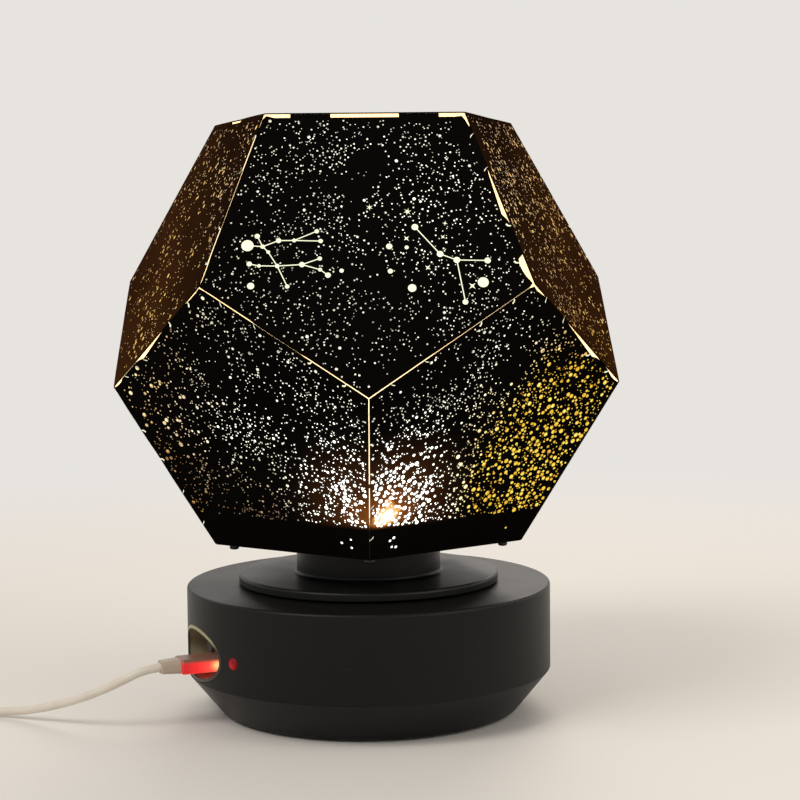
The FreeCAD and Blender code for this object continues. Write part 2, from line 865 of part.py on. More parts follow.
def main_board():
    """Circuit board sector behind the port, on the plate's posts."""
    start, end = board_span
    board = tube_ring(board_outer, board_inner, board_bottom, board_top)
    wedge = []
    for azimuth in (start, end):
        wedge.append(polar(board_outer * 2.0, azimuth_angle(azimuth), board_bottom - 1.0))
    sector = polygon_face([Vector(0, 0, board_bottom - 1.0)] + wedge).extrude(Vector(0, 0, board_thickness + 2.0))
    board = board.common(sector)
    beyond = block((board_flat, -60, board_bottom - 1.0), (board_outer + 9.0, 60, board_top + 1.0))
    board = board.cut(at_azimuth(beyond, port_azimuth))
    for reach, azimuth in board_posts:
        centre = polar(reach, azimuth_angle(azimuth))
        board = board.cut(cylinder(small_screw_radius + 0.1, board_bottom - 1.0, board_top + 1.0, centre))
    return board


def board_chips():
    """Driver chips, a coil and a capacitor on the board."""
    parts = []
    for reach, azimuth, length, width, height in chip_places:
        low = (reach - length / 2.0, -width / 2.0, board_top)
        high = (reach + length / 2.0, width / 2.0, board_top + height)
        parts.append(at_azimuth(block(low, high), azimuth))
    reach, azimuth = capacitor_place
    centre = polar(reach, azimuth_angle(azimuth))
    parts.append(cylinder(capacitor_radius, board_top, board_top + capacitor_height, centre))
    return Part.makeCompound(parts)


def board_connectors():
    """Three two-way lead connectors on the board."""
    sockets = []
    for reach, azimuth in connectors:
        body = block((reach - 2.2, -3.0, board_top), (reach + 2.2, 3.0, board_top + 3.4))
        cavity = block((reach - 3.0, -2.3, board_top + 0.7), (reach + 1.2, 2.3, board_top + 2.7))
        sockets.append(at_azimuth(body.cut(cavity), azimuth))
    return Part.makeCompound(sockets)


def board_screw_places():
    return [(polar(reach, azimuth_angle(azimuth)), board_top, small_screw_length) for reach, azimuth in board_posts]


def indicator_lens():
    """Red lens in the wall with a flange behind it."""
    inner = wall_radius - shell
    face = wall_radius + 0.3
    lens = rod(lens_radius, Vector(inner - 0.8, 0, lens_height), Vector(face, 0, lens_height))
    rim = [e for e in lens.Edges if e.BoundBox.XMin > face - 0.01]
    lens = lens.makeFillet(0.6, rim)
    flange = rod(lens_flange, Vector(inner - 1.4, 0, lens_height), Vector(inner - 0.4, 0, lens_height))
    return at_azimuth(lens.fuse(flange), lens_azimuth)


def indicator_led():
    """Domed 3 mm lamp lying behind the lens."""
    tip = wall_radius - shell - 1.8
    back = tip - led_length
    body = rod(led_radius, Vector(back, 0, lens_height), Vector(tip - led_radius, 0, lens_height))
    dome = Part.makeSphere(led_radius, Vector(tip - led_radius, 0, lens_height))
    flange = rod(led_radius + 0.35, Vector(back, 0, lens_height), Vector(back + 0.9, 0, lens_height))
    return at_azimuth(body.fuse([dome, flange]), lens_azimuth)


def led_holder():
    """Stand that holds the small lamp level with the lens."""
    back = wall_radius - shell - 1.8 - led_length
    post = block((back - 2.4, -2.4, board_top), (back - 0.1, 2.4, lens_height + 2.2))
    foot = block((back - 6.0, -2.4, board_top), (back - 2.0, 2.4, board_top + 1.2))
    return at_azimuth(post.fuse(foot), lens_azimuth)


def battery():
    """Flat rechargeable cell taped to the plate behind the lamp post."""
    bottom = plate_top + 0.2
    half = battery_length / 2.0
    corners = (
        (-half, battery_near, 2.5),
        (half, battery_near, 2.5),
        (half, battery_near + battery_width, 2.5),
        (-half, battery_near + battery_width, 2.5),
    )
    wire = rounded_wire(corners, lambda p: Vector(p.x, p.y, bottom))
    cell = Part.Face(wire).extrude(Vector(0, 0, battery_thickness))
    return cell.makeFillet(1.2, [e for e in cell.Edges if e.BoundBox.ZLength < 1e-6])


# Lamp

def post_screw_places():
    return [(polar(10.3, 120.0 * k - 30.0), plate_top + post_foot) for k in range(3)]


def lamp_post():
    """Fixed hollow post through the hub that carries the lamp board into the globe."""
    bottom = plate_top + 0.02
    head_bottom = lamp_height - post_head
    post = revolved((
        (post_bore, bottom, 0),
        (post_foot_radius, bottom, 0.3),
        (post_foot_radius, bottom + post_foot, 0.5),
        (post_radius, bottom + post_foot, 0),
        (post_radius, head_bottom - 2.0, 0),
        (post_head_radius, head_bottom, 0),
        (post_head_radius, lamp_height, 0.3),
        (post_bore, lamp_height, 0),
    ))
    for centre, seat in post_screw_places():
        post = post.cut(cylinder(small_screw_radius + 0.1, bottom - 1.0, bottom + post_foot + 1.0, centre))
        post = post.cut(cylinder(small_screw_head + 0.2, bottom + post_foot - 0.3, bottom + post_foot + 5.0, centre))
    window = block((-3.0, 0, bottom + post_foot + 1.5), (3.0, 20.0, bottom + post_foot + 8.5))
    return post.cut(turned(window, 60.0))


def lamp_board():
    board = cylinder(lamp_board_radius, lamp_height + 0.02, lamp_height + lamp_board_thickness)
    return board.cut(cylinder(1.6, lamp_height - 1.0, lamp_height + 3.0))


def emitter(angle):
    """One light-emitting chip: a square base with a domed lens."""
    bottom = lamp_height + lamp_board_thickness
    half = emitter_size / 2.0
    base = block((emitter_reach - half, -half, bottom), (emitter_reach + half, half, bottom + 0.9))
    dome = Part.makeSphere(half - 0.15, Vector(emitter_reach, 0, bottom + 0.5))
    keep = cylinder(half, bottom + 0.5, bottom + emitter_height, Vector(emitter_reach, 0, 0))
    return turned(base.fuse(dome.common(keep)), angle)


def lamp_led_warm():
    return emitter(0.0)


def lamp_leds_colour():
    step = 360.0 / emitter_count
    return Part.makeCompound([emitter(step * k) for k in range(1, emitter_count)])


# Drive motor

def motor_axis():
    return polar(pinion_reach, motor_angle)


def motor_can():
    """Round motor body with two flats, under its gearbox."""
    top = gearbox_top - gearbox_height
    can = cylinder(motor_radius, top - motor_length, top - 0.02)
    flats = block((-motor_flat / 2.0, -motor_radius - 1, top - motor_length - 1),
                  (motor_flat / 2.0, motor_radius + 1, top + 1))
    can = can.common(flats)
    can.translate(Vector(pinion_reach, 0, 0))
    return turned(can, motor_angle)


def motor_gearbox():
    """Open-plate reduction gearbox drawn as its housing, with the output bearing."""
    bottom = gearbox_top - gearbox_height
    half = gearbox_width / 2.0
    depth = motor_flat / 2.0
    box = block((-depth, -half, bottom), (depth, half, gearbox_top))
    for k in range(3):
        level = bottom + 1.6 + 2.6 * k
        groove = block((-depth - 1, -half - 1, level), (-depth + 1.2, half + 1, level + 1.2))
        box = box.cut(groove)
        box = box.cut(groove.mirror(AXIS, Vector(1, 0, 0)))
    boss = cylinder(2.2, gearbox_top - 0.5, gearbox_top + 0.6)
    box = box.fuse(boss)
    box = box.cut(cylinder(shaft_radius + running_clearance, gearbox_top - shaft_depth - 0.2, gearbox_top + 2.0))
    box.translate(Vector(pinion_reach, 0, 0))
    return turned(box, motor_angle)


def motor_screw_places():
    places = []
    for side in (-1.0, 1.0):
        place = turned(Part.Vertex(Vector(pinion_reach, side * (motor_radius + 5.4), 0)), motor_angle).Point
        places.append((place, plate_top + 2.0))
    return places


def motor_bracket():
    """Clip around the motor with two screwed feet."""
    bottom = plate_top + 0.02
    top = gearbox_top - gearbox_height - 1.5
    half = motor_radius + bracket_wall
    depth = motor_flat / 2.0 + bracket_wall
    body = block((-depth, -half, bottom), (depth, half, top))
    feet = block((-4.0, -half - 7.0, bottom), (4.0, half + 7.0, bottom + 1.98))
    body = body.fuse(feet)
    can_bottom = gearbox_top - gearbox_height - motor_length
    pocket = block((-motor_flat / 2.0 - 0.1, -motor_radius - 0.1, can_bottom), (motor_flat / 2.0 + 0.1,
                   motor_radius + 0.1, top + 1))
    body = body.cut(pocket)
    vent = block((-depth - 1, -3.0, can_bottom + 3.0), (depth + 1, 3.0, top - 2.0))
    body = body.cut(vent)
    body.translate(Vector(pinion_reach, 0, 0))
    body = turned(body, motor_angle)
    for centre, seat in motor_screw_places():
        body = body.cut(cylinder(small_screw_radius + 0.1, bottom - 1.0, bottom + 5.0, centre))
    return body


def output_shaft():
    centre = motor_axis()
    top = gear_top + 0.8
    shaft = cylinder(shaft_radius, gearbox_top - shaft_depth, top, centre)
    flat = block((shaft_radius - 0.4, -2, gear_bottom - 0.4), (shaft_radius + 1, 2, top + 1))
    flat.translate(Vector(centre.x, centre.y, 0))
    return shaft.cut(flat)


def motor_pinion():
    """Pinion pressed on the motor's flatted shaft, in mesh with the drive gear."""
    centre = motor_axis()
    gear = spur_gear(pinion_teeth, gear_bottom - 0.3, gear_top + 0.3)
    gear = turned(gear, motor_angle + 180.0 + 180.0 / pinion_teeth)
    bore = cylinder(shaft_radius + 0.02, gear_bottom - 2.0, gear_top + 2.0)
    flat = block((shaft_radius - 0.38, -2, gear_bottom - 2), (shaft_radius + 1, 2, gear_top + 2))
    gear = gear.cut(bore.cut(flat))
    gear.translate(centre)
    return gear


# Leads and the charging cable

def arc_middle(start, apex, end):
    """Middle point of the arc that touches both sides of a corner."""
    middle = (start + end) * 0.5
    chord = (end - start).Length / 2.0
    rise = apex - middle
    half_turn = math.atan2(rise.Length, chord)
    return middle + rise.normalize() * (chord * math.tan(half_turn / 2.0))


def cord_path(points):
    """Straight runs joined by tangent arcs as large as the runs allow, with the arc radii."""
    points = [Vector(*p) for p in points]
    edges = []
    radii = []
    at = points[0]
    for index in range(1, len(points) - 1):
        corner = points[index]
        back = points[index - 1] - corner
        ahead = points[index + 1] - corner
        reach = 0.45 * min(back.Length, ahead.Length)
        half_turn = (math.pi - back.getAngle(ahead)) / 2.0
        radii.append(reach / math.tan(half_turn))
        start = corner + back.normalize() * reach
        end = corner + ahead.normalize() * reach
        edges.append(Part.LineSegment(at, start).toShape())
        edges.append(Part.Arc(start, arc_middle(start, corner, end), end).toShape())
        at = end
    edges.append(Part.LineSegment(at, points[-1]).toShape())
    return Part.Wire(edges), radii


def swept_tube(path, start, direction, diameter):
    """Round tube along a path, checked against its section times its length."""
    circle = Part.Wire(Part.Circle(start, direction, diameter / 2.0).toShape())
    tube = path.makePipeShell([circle], True, False)
    ideal = math.pi * diameter ** 2 / 4.0 * path.Length
    print("tube length %.1f volume ratio %.4f" % (path.Length, tube.Volume / ideal))
    return tube


def cord(points, diameter):
    path, radii = cord_path(points)
    if radii:
        print("arc radii", " ".join("%.1f" % r for r in radii))
    start = Vector(*points[0])
    return swept_tube(path, start, Vector(*points[1]) - start, diameter)


def biarc(start, start_way, end, end_way):
    """Two tangent arcs between two points with given directions."""
    gap = end - start
    ways = start_way + end_way
    a = 2.0 * (1.0 - start_way.dot(end_way))
    b = 2.0 * gap.dot(ways)
    c = -gap.dot(gap)
    reach = (-b + math.sqrt(b * b - 4.0 * a * c)) / (2.0 * a) if a > 1e-9 else -c / b
    first = start + start_way * reach
    second = end - end_way * reach
    joint = (first + second) * 0.5
    return [
        Part.Arc(start, arc_middle(start, first, joint), joint).toShape(),
        Part.Arc(joint, arc_middle(joint, second, end), end).toShape(),
    ]


def coil_point(turns):
    """Centre of the coiled cable after so many turns, wound clockwise from its -Y side."""
    pitch = (coil_outer - coil_inner) / coil_turns_in
    back = turns - coil_turns_in - coil_reversal
    if back < 0 and turns > coil_turns_in:
        share = (turns - coil_turns_in) / coil_reversal
        radius = coil_inner - pitch * coil_reversal * share * (1.0 - share)
        climb = share * share * (3.0 - 2.0 * share)
    elif back >= 0:
        radius = coil_inner + pitch * back
        climb = 1.0
    else:
        radius = coil_outer - pitch * turns
        climb = 0.0
    angle = -90.0 - 360.0 * turns
    centre = polar(radius, angle)
    height = cable_diameter / 2.0 + 0.05 + layer_pitch * climb
    return Vector(coil_centre[0] + centre.x, coil_centre[1] + centre.y, height)


def coil_way(turns):
    small = 1e-4
    return (coil_point(turns + small) - coil_point(turns - small)).normalize()


def cable_coil():
    """Put-away length of the cable: in along the table, up a layer, and out again on top."""
    total = coil_turns_in + coil_reversal + coil_turns_out
    steps = int(round(total * 4))
    stops = [total * k / steps for k in range(steps + 1)]
    points = [coil_point(t) for t in stops]
    ways = [coil_way(t) for t in stops]
    ways[0] = Vector(-1, 0, 0)
    ways[-1] = Vector(0, 1, 0)
    lead_in = points[0] - ways[0] * cable_diameter
    lead_out = points[-1] + ways[-1] * cable_diameter
    edges = [Part.LineSegment(lead_in, points[0]).toShape()]
    for k in range(steps):
        edges += biarc(points[k], ways[k], points[k + 1], ways[k + 1])
    edges.append(Part.LineSegment(points[-1], lead_out).toShape())
    path = Part.Wire(edges)
    samples = path.discretize(600)
    spacing = path.Length / 599.0
    apart = int(math.pi * coil_inner / spacing)
    least = min(
        (samples[i] - samples[j]).Length
        for i in range(len(samples))
        for j in range(i + apart, len(samples))
    )
    print("coil length %.1f least gap to itself %.2f" % (path.Length, least - cable_diameter))
    return swept_tube(path, lead_in, ways[0], cable_diameter), lead_in, lead_out


def usb_plug_grip():
    """Moulded grip of the charging plug."""
    end = plug_start + plug_length
    grip = rounded_bar(plug_start, end, plug_width, plug_thickness, 1.6, 0.0, socket_height)
    grip = grip.makeFillet(0.6, [e for e in grip.Edges if e.BoundBox.XLength < 1e-6])
    return at_azimuth(grip, port_azimuth)


def usb_plug_nose():
    """Thin metal sleeve of the plug, in the socket's mouth."""
    start = plug_start - plug_gap - 0.3 - plug_nose + 0.4
    sleeve = rounded_bar(start, plug_start, plug_nose_width, plug_nose_thickness, 0.5, 0.0, socket_height)
    hollow = rounded_bar(start - 1.0, plug_start - 0.3, plug_nose_width - 0.5, plug_nose_thickness - 0.5,
                         0.3, 0.0, socket_height)
    return at_azimuth(sleeve.cut(hollow), port_azimuth)


def usb_strain_relief():
    """Softer collar between the grip and the cable."""
    start = plug_start + plug_length
    end = start + relief_length
    collar = tapered_bar(start, end, (relief_width, relief_thickness), (relief_width - 1.2, relief_thickness - 0.6),
                         1.5, socket_height)
    return at_azimuth(collar, port_azimuth)


def host_plug(lead_out):
    """Grip and metal shell of the plug at the cable's far end, flat on the table beside the coil."""
    x = lead_out.x
    y = lead_out.y + tail_run
    axis = host_plug_thickness / 2.0
    relief = tapered_bar(0.0, host_relief_length, (cable_diameter + 2.0, cable_diameter + 1.6),
                         (host_plug_width - 7.0, host_plug_thickness - 2.4), 1.2, axis)
    grip = rounded_bar(host_relief_length - 0.01, host_relief_length + host_plug_length, host_plug_width,
                       host_plug_thickness, 2.0, 0.0, axis)
    grip = grip.fuse(relief)
    shell_start = host_relief_length + host_plug_length
    shell_end = shell_start + host_shell_length
    metal = rounded_bar(shell_start, shell_end, host_shell_width, host_shell_thickness, 0.5, 0.0, axis)
    hollow = rounded_bar(shell_start + 1.0, shell_end + 1.0, host_shell_width - 0.6,
                         host_shell_thickness - 0.6, 0.3, 0.0, axis)
    insert = block((shell_start + 0.5, -host_shell_width / 2 + 0.5, axis - host_shell_thickness / 2 + 0.2),
                   (shell_end - 0.6, host_shell_width / 2 - 0.5, axis - 0.1))
    metal = metal.cut(hollow).fuse(insert)
    placed = []
    for shape in (grip, metal):
        shape = turned(shape, 90.0)
        shape.translate(Vector(x, y, 0))
        placed.append(shape)
    return placed


def twin_leads(points):
    """Two insulated leads side by side, level with each other across their way."""
    points = [Vector(*p) for p in points]
    sides = []
    last = Vector()
    for index in range(len(points)):
        ahead = points[min(index + 1, len(points) - 1)] - points[max(index - 1, 0)]
        across = ahead.cross(UP)
        if across.Length > 0.2 * ahead.Length:
            last = across.normalize()
        sides.append(last)
    leads = []
    for side in (-0.5, 0.5):
        shifted = [tuple(p + s * (side * lead_spacing)) for p, s in zip(points, sides)]
        leads.append(cord(shifted, lead_diameter))
    return Part.makeCompound(leads)


def plan(reach, azimuth, height):
    point = polar(reach, azimuth_angle(azimuth), height)
    return (point.x, point.y, point.z)


def lamp_leads():
    """Leads from the board through the post's window and up to the lamp board."""
    reach, azimuth = connectors[2]
    level = board_top + 1.7
    entry = 120.0
    points = [
        plan(reach - 2.0, azimuth, level),
        plan(18.2, azimuth, level),
        plan(15.4, azimuth + 20.0, level - 5.5),
        plan(12.0, entry, 10.5),
        plan(3.4, entry, 10.6),
        plan(0.4, entry, 18.0),
        (0.0, 0.0, 32.0),
        (0.0, 0.0, lamp_height - 0.3),
    ]
    return twin_leads(points)


def battery_leads():
    """Leads from the cell to the board."""
    reach, azimuth = connectors[1]
    level = board_top + 1.7
    points = [
        (-18.0, battery_near - 0.1, 6.4),
        (-17.6, battery_near - 6.0, 6.8),
        (-16.4, battery_near - 12.5, 11.0),
        (-14.6, battery_near - 18.5, 16.5),
        plan(17.4, azimuth, level),
        plan(reach - 2.0, azimuth, level),
    ]
    return twin_leads(points)


def motor_leads():
    """Leads from the motor across the front of the plate to the board."""
    reach, azimuth = connectors[0]
    level = board_top + 1.7
    points = [
        (30.0, -18.5, 6.0),
        (24.0, -24.0, 6.0),
        (12.0, -30.0, 6.4),
        (-0.5, -28.5, 9.0),
        (-6.0, -20.5, 14.5),
        plan(17.0, azimuth, level),
        plan(reach - 2.0, azimuth, level),
    ]
    return twin_leads(points)


def build():
    os.makedirs("parts", exist_ok=True)
    for node, shape in film_panels().items():
        save(shape, node)
    save(bottom_film(), "film_bottom")
    save(globe_tray(), "globe_tray")
    save(press_rivets(), "press_rivets")
    save(turntable(), "turntable")
    save(drive_gear(), "drive_gear")
    save(retaining_ring(), "retaining_ring")
    save(thrust_washer(), "thrust_washer")
    save(base_housing(), "base_housing")
    save(base_plate(), "base_plate")
    save(rubber_feet(), "rubber_feet")
    save(case_screws(), "case_screws")
    save(port_recess(), "port_recess")
    save(push_button(-1.0), "light_button")
    save(push_button(1.0), "spin_button")
    save(button_switches(), "button_switches")
    save(usb_socket(), "usb_socket")
    save(main_board(), "main_board")
    save(board_chips(), "board_chips")
    save(board_connectors(), "board_connectors")
    save(small_screws(board_screw_places()), "board_screws")
    save(indicator_lens(), "indicator_lens")
    save(indicator_led(), "indicator_led")
    save(led_holder(), "led_holder")
    save(battery(), "battery")
    save(battery_leads(), "battery_leads")
    save(lamp_post(), "lamp_post")
    save(small_screws([(c, s, 3.4) for c, s in post_screw_places()]), "lamp_post_screws")
    save(lamp_board(), "lamp_board")
    save(lamp_led_warm(), "lamp_led_warm")
    save(lamp_leds_colour(), "lamp_leds_colour")
    save(lamp_leads(), "lamp_leads")
    save(motor_can(), "motor_can")
    save(motor_gearbox(), "motor_gearbox")
    save(motor_bracket(), "motor_bracket")
    save(small_screws([(c, s, 3.4) for c, s in motor_screw_places()]), "motor_screws")
    save(motor_leads(), "motor_leads")
    save(output_shaft(), "output_shaft")
    save(motor_pinion(), "motor_pinion")
    save(usb_plug_nose(), "usb_plug_nose")
    save(usb_plug_grip(), "usb_plug_grip")
    save(usb_strain_relief(), "usb_strain_relief")
    coil, coil_start, coil_end = cable_coil()
    exit_point = plan(plug_start + plug_length + relief_length, port_azimuth, socket_height)
    route = [exit_point] + list(cable_route) + [tuple(coil_start)]
    save(cord(route, cable_diameter), "usb_cable_run")
    save(coil, "usb_cable_coil")
    host_axis = host_plug_thickness / 2.0
    tail = [
        tuple(coil_end),
        (coil_end.x, coil_end.y + tail_run * 0.3, coil_end.z),
        (coil_end.x, coil_end.y + tail_run * 0.7, host_axis),
        (coil_end.x, coil_end.y + tail_run, host_axis),
    ]
    save(cord(tail, cable_diameter), "usb_cable_tail")
    grip, metal = host_plug(coil_end)
    save(grip, "host_plug_grip")
    save(metal, "host_plug_shell")


build()
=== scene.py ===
"""Star-globe projector: film panels with lit star windows, finishes, cable, stage and camera.

Metres throughout. The globe's size and the places of the lamp, plug, lens and cable's end come from
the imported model's boxes; the rest are the named values below.
"""
import math
import random

import bmesh
import bpy
from mathutils import Matrix, Vector, noise

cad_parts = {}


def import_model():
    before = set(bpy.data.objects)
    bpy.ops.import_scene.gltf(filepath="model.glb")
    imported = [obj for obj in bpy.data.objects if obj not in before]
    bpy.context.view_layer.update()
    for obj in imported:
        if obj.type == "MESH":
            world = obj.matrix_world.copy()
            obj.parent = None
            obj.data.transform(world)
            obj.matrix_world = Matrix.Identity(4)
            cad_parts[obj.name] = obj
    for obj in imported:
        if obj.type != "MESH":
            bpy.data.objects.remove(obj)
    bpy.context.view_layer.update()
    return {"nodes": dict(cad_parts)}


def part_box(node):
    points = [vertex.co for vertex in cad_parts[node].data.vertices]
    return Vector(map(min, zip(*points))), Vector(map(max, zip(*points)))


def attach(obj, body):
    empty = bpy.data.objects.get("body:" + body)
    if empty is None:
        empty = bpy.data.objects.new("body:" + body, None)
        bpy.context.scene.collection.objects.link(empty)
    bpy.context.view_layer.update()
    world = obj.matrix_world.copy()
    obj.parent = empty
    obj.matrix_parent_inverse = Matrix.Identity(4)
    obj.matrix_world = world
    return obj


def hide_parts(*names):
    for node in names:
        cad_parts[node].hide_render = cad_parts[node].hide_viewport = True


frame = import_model()

MM = 0.001
GOLDEN = (1.0 + math.sqrt(5.0)) / 2.0

# Film globe
FILM = 0.4 * MM
FILM_MITRE = 0.618
PANEL_GAP = 0.14 * MM
TOP_GAP = 1.7 * MM
TIGHT_GAP = 0.1 * MM
OPEN_GAP = (0.16, 0.5)
TAB_CLEARANCE = 0.12 * MM
TAB_DEPTH = 5.5 * MM
TAB_TAPER = 1.6 * MM
TAB_ROOT = 0.15 * MM
TAB_SPANS = ((0.13, 0.33), (0.67, 0.87))
LOW_TAB_SPANS = ((0.27, 0.45), (0.67, 0.87))
# Height of the band low on the lower films left without windows, as painted shade of the tray's wall
SHADED_BAND_HEIGHT = 11.56 * MM
PANEL_STEPS = 30
EDGE_FALLOFF = 7.0 * MM
WAVINESS = 0.35 * MM
WAVES_PER_METRE = 18.0

# Star windows
STAR_MARGIN = 1.1 * MM
STAR_PROUD = 0.03 * MM
STAR_SPACING = 0.1 * MM
STAR_CELL = 1.2 * MM
LARGEST_STAR = 2.0 * MM
STARS_PER_PANEL = 1900
TRIES_PER_STAR = 34
FEWER_STARS = {"film_upper_1": 1560, "film_upper_2": 1150, "film_upper_5": 740, "film_lower_5": 1560}
FINE_STAR = (0.12 * MM, 0.24 * MM)
SMALL_STAR = (0.24 * MM, 0.34 * MM)
BRIGHT_STAR = (0.36 * MM, 0.55 * MM)
GOLDEN_STAR = (0.3 * MM, 0.82 * MM)
HOT_STAR = (0.4 * MM, 0.8 * MM)
# Corners of a window's outline below each radius
STAR_SIDES = ((0.36 * MM, 6), (0.8 * MM, 10), (math.inf, 18))
LINE_WIDTH = 0.32 * MM
LINE_CLAIM = 0.8 * MM
CROSS_WAIST = 0.29
FIGURE_STAR = 1.18
HOOK_WIDTH = 0.46 * MM
HOOK_CLAIM = 0.9 * MM
# A hook's middle line, as millimetres along the seam and into the panel
HOOK_PLACES = ((0.0, 0.1), (0.3, 0.85), (1.05, 1.3))
# Films whose crowd comes in loose clusters
CLUSTERED = ("film_upper_2", "film_upper_5")
# How strongly the lamp's hot spot crowds the windows of the films beside it, and how far
LAMP_SHARE = {"film_lower_1": 1.0, "film_lower_5": 0.5}
CROWD_REACH = 31.0 * MM
HOT_REACH = 20.0 * MM
PATCH_REACH = 41.0 * MM

# Where the windows turn golden towards the sides
SIDE_FROM = 44.0 * MM
SIDE_REACH = 24.0 * MM

# Height below which the lower windows dim, and over what depth
SHADE_TOP = 100.0 * MM
SHADE_DEPTH = 26.0 * MM

# Lamp head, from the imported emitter, and where its light shows on the films
lamp_low, lamp_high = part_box("lamp_led_warm")
LAMP = (lamp_low + lamp_high) / 2.0
LAMP_NEAR = 40.0 * MM
LAMP_FADE = 105.0 * MM
INSIDE_FADE = 150.0 * MM
HOT_SPOT = Vector((4.6, -59.4, 75.4)) * MM
HOT_CORE = 6.5 * MM
HOT_HALO = 36.0 * MM
HOT_RAGGED = 7.0 * MM
WHITE_REACH = 40.0 * MM
GOLDEN_PATCH = Vector((61.0, -32.0, 90.0)) * MM
GOLDEN_REACH = 46.0 * MM
EMBER_SPOT = Vector((61.0, -32.0, 98.0)) * MM
EMBER_REACH = 15.0 * MM
GLOW_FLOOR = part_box("globe_tray")[1].z - 1.0 * MM
GLOW_RISE = 2.5 * MM

# Port: the way out of it, the plug's side that faces front, the painted glows on the plug and lens, and the
# recess's dark mouth and painted highlight
PORT_AZIMUTH = math.radians(68.5)
PORT_WAY = Vector((-math.sin(PORT_AZIMUTH), -math.cos(PORT_AZIMUTH), 0.0))
PORT_SIDE = Vector((-PORT_WAY.y, PORT_WAY.x, 0.0))
PLUG_LEVEL = 20.5 * MM
PLUG_HOT_REACH = 57.2 * MM
PLUG_HALF_WIDTH = 5.3 * MM
PLUG_GLOW = (0.6 * MM, 10.4 * MM)
LENS_SPOT = Vector((1.2, 0.4, 1.5)) * MM
LENS_GLOW = (0.4 * MM, 2.6 * MM)
RECESS_MOUTH = 61.9 * MM
RECESS_HIGHLIGHT_FROM = 28.0 * MM

# Stage
FLOOR_COLOUR = (0.80, 0.775, 0.74)
BACK_COLOUR = (0.80, 0.775, 0.745, 1.0)
FLOOR_REACH = 6.0
FLOOR_DROP = 0.1 * MM
FLOOR_NEAR = 0.22
FLOOR_FADE = 0.55
WORLD_LIGHT = (1.0, 0.97, 0.93, 1.0)
WORLD_STRENGTH = 0.42
LIGHT_AIM = Vector((0.0, 0.0, 0.1))
# Each light's name, place, width, power and colour
LIGHTS = (
    ("key", (-0.9, -0.8, 1.3), 0.8, 13.0, (1.0, 0.95, 0.88)),
    ("fill", (1.1, -0.6, 0.8), 1.0, 5.0, (1.0, 0.93, 0.84)),
    ("rim", (0.3, 1.2, 1.0), 0.8, 8.0, (1.0, 0.9, 0.78)),
)

# Camera, placed as the photograph's
CAMERA_PLACE = Vector((-4.8, -664.5, 161.6)) * MM
CAMERA_YAW = 0.0245
CAMERA_PITCH = -0.0823
CAMERA_ROLL = -0.0097
CAMERA_LENS = 86.87
CAMERA_SENSOR = 36.0
CAMERA_NEAREST = 10.0 * MM


# Shader expressions

class Value:
    """A shader socket that adds Math nodes when it is used in an expression."""

    def __init__(self, owner, socket):
        self.owner = owner
        self.socket = socket

    def math(self, operation, *others):
        sockets = dict(enumerate((self, *others)))
        return self.owner.node("ShaderNodeMath", {"operation": operation}, sockets)

    def reflected(self, operation, other):
        return self.owner.node("ShaderNodeMath", {"operation": operation}, {0: other, 1: self})

    def __add__(self, other):
        return self.math("ADD", other)

    def __radd__(self, other):
        return self.reflected("ADD", other)

    def __sub__(self, other):
        return self.math("SUBTRACT", other)

    def __rsub__(self, other):
        return self.reflected("SUBTRACT", other)

    def __mul__(self, other):
        return self.math("MULTIPLY", other)

    def __rmul__(self, other):
        return self.reflected("MULTIPLY", other)

    def __truediv__(self, other):
        return self.math("DIVIDE", other)

    def __rtruediv__(self, other):
        return self.reflected("DIVIDE", other)

    def __pow__(self, other):
        return self.math("POWER", other)

    def clamp(self):
        return self.math("MINIMUM", 1.0).math("MAXIMUM", 0.0)


class Shading:
    """A node tree whose nodes all come from one method."""

    def __init__(self, tree):
        self.tree = tree

    def node(self, kind, settings=None, sockets=None, output=0):
        """Add a node: its settings first, then the values or links of its sockets."""
        node = self.tree.nodes.new(kind)
        for setting, value in (settings or {}).items():
            if setting == "stops":
                ramp = node.color_ramp
                while len(ramp.elements) < len(value):
                    ramp.elements.new(1.0)
                for element, (place, colour) in zip(ramp.elements, value):
                    element.position = place
                    element.color = (*colour, 1.0)
            else:
                setattr(node, setting, value)
        for socket, value in (sockets or {}).items():
            if isinstance(value, Value):
                self.tree.links.new(value.socket, node.inputs[socket])
            else:
                node.inputs[socket].default_value = value
        return Value(self, node.outputs[output] if node.outputs else None)


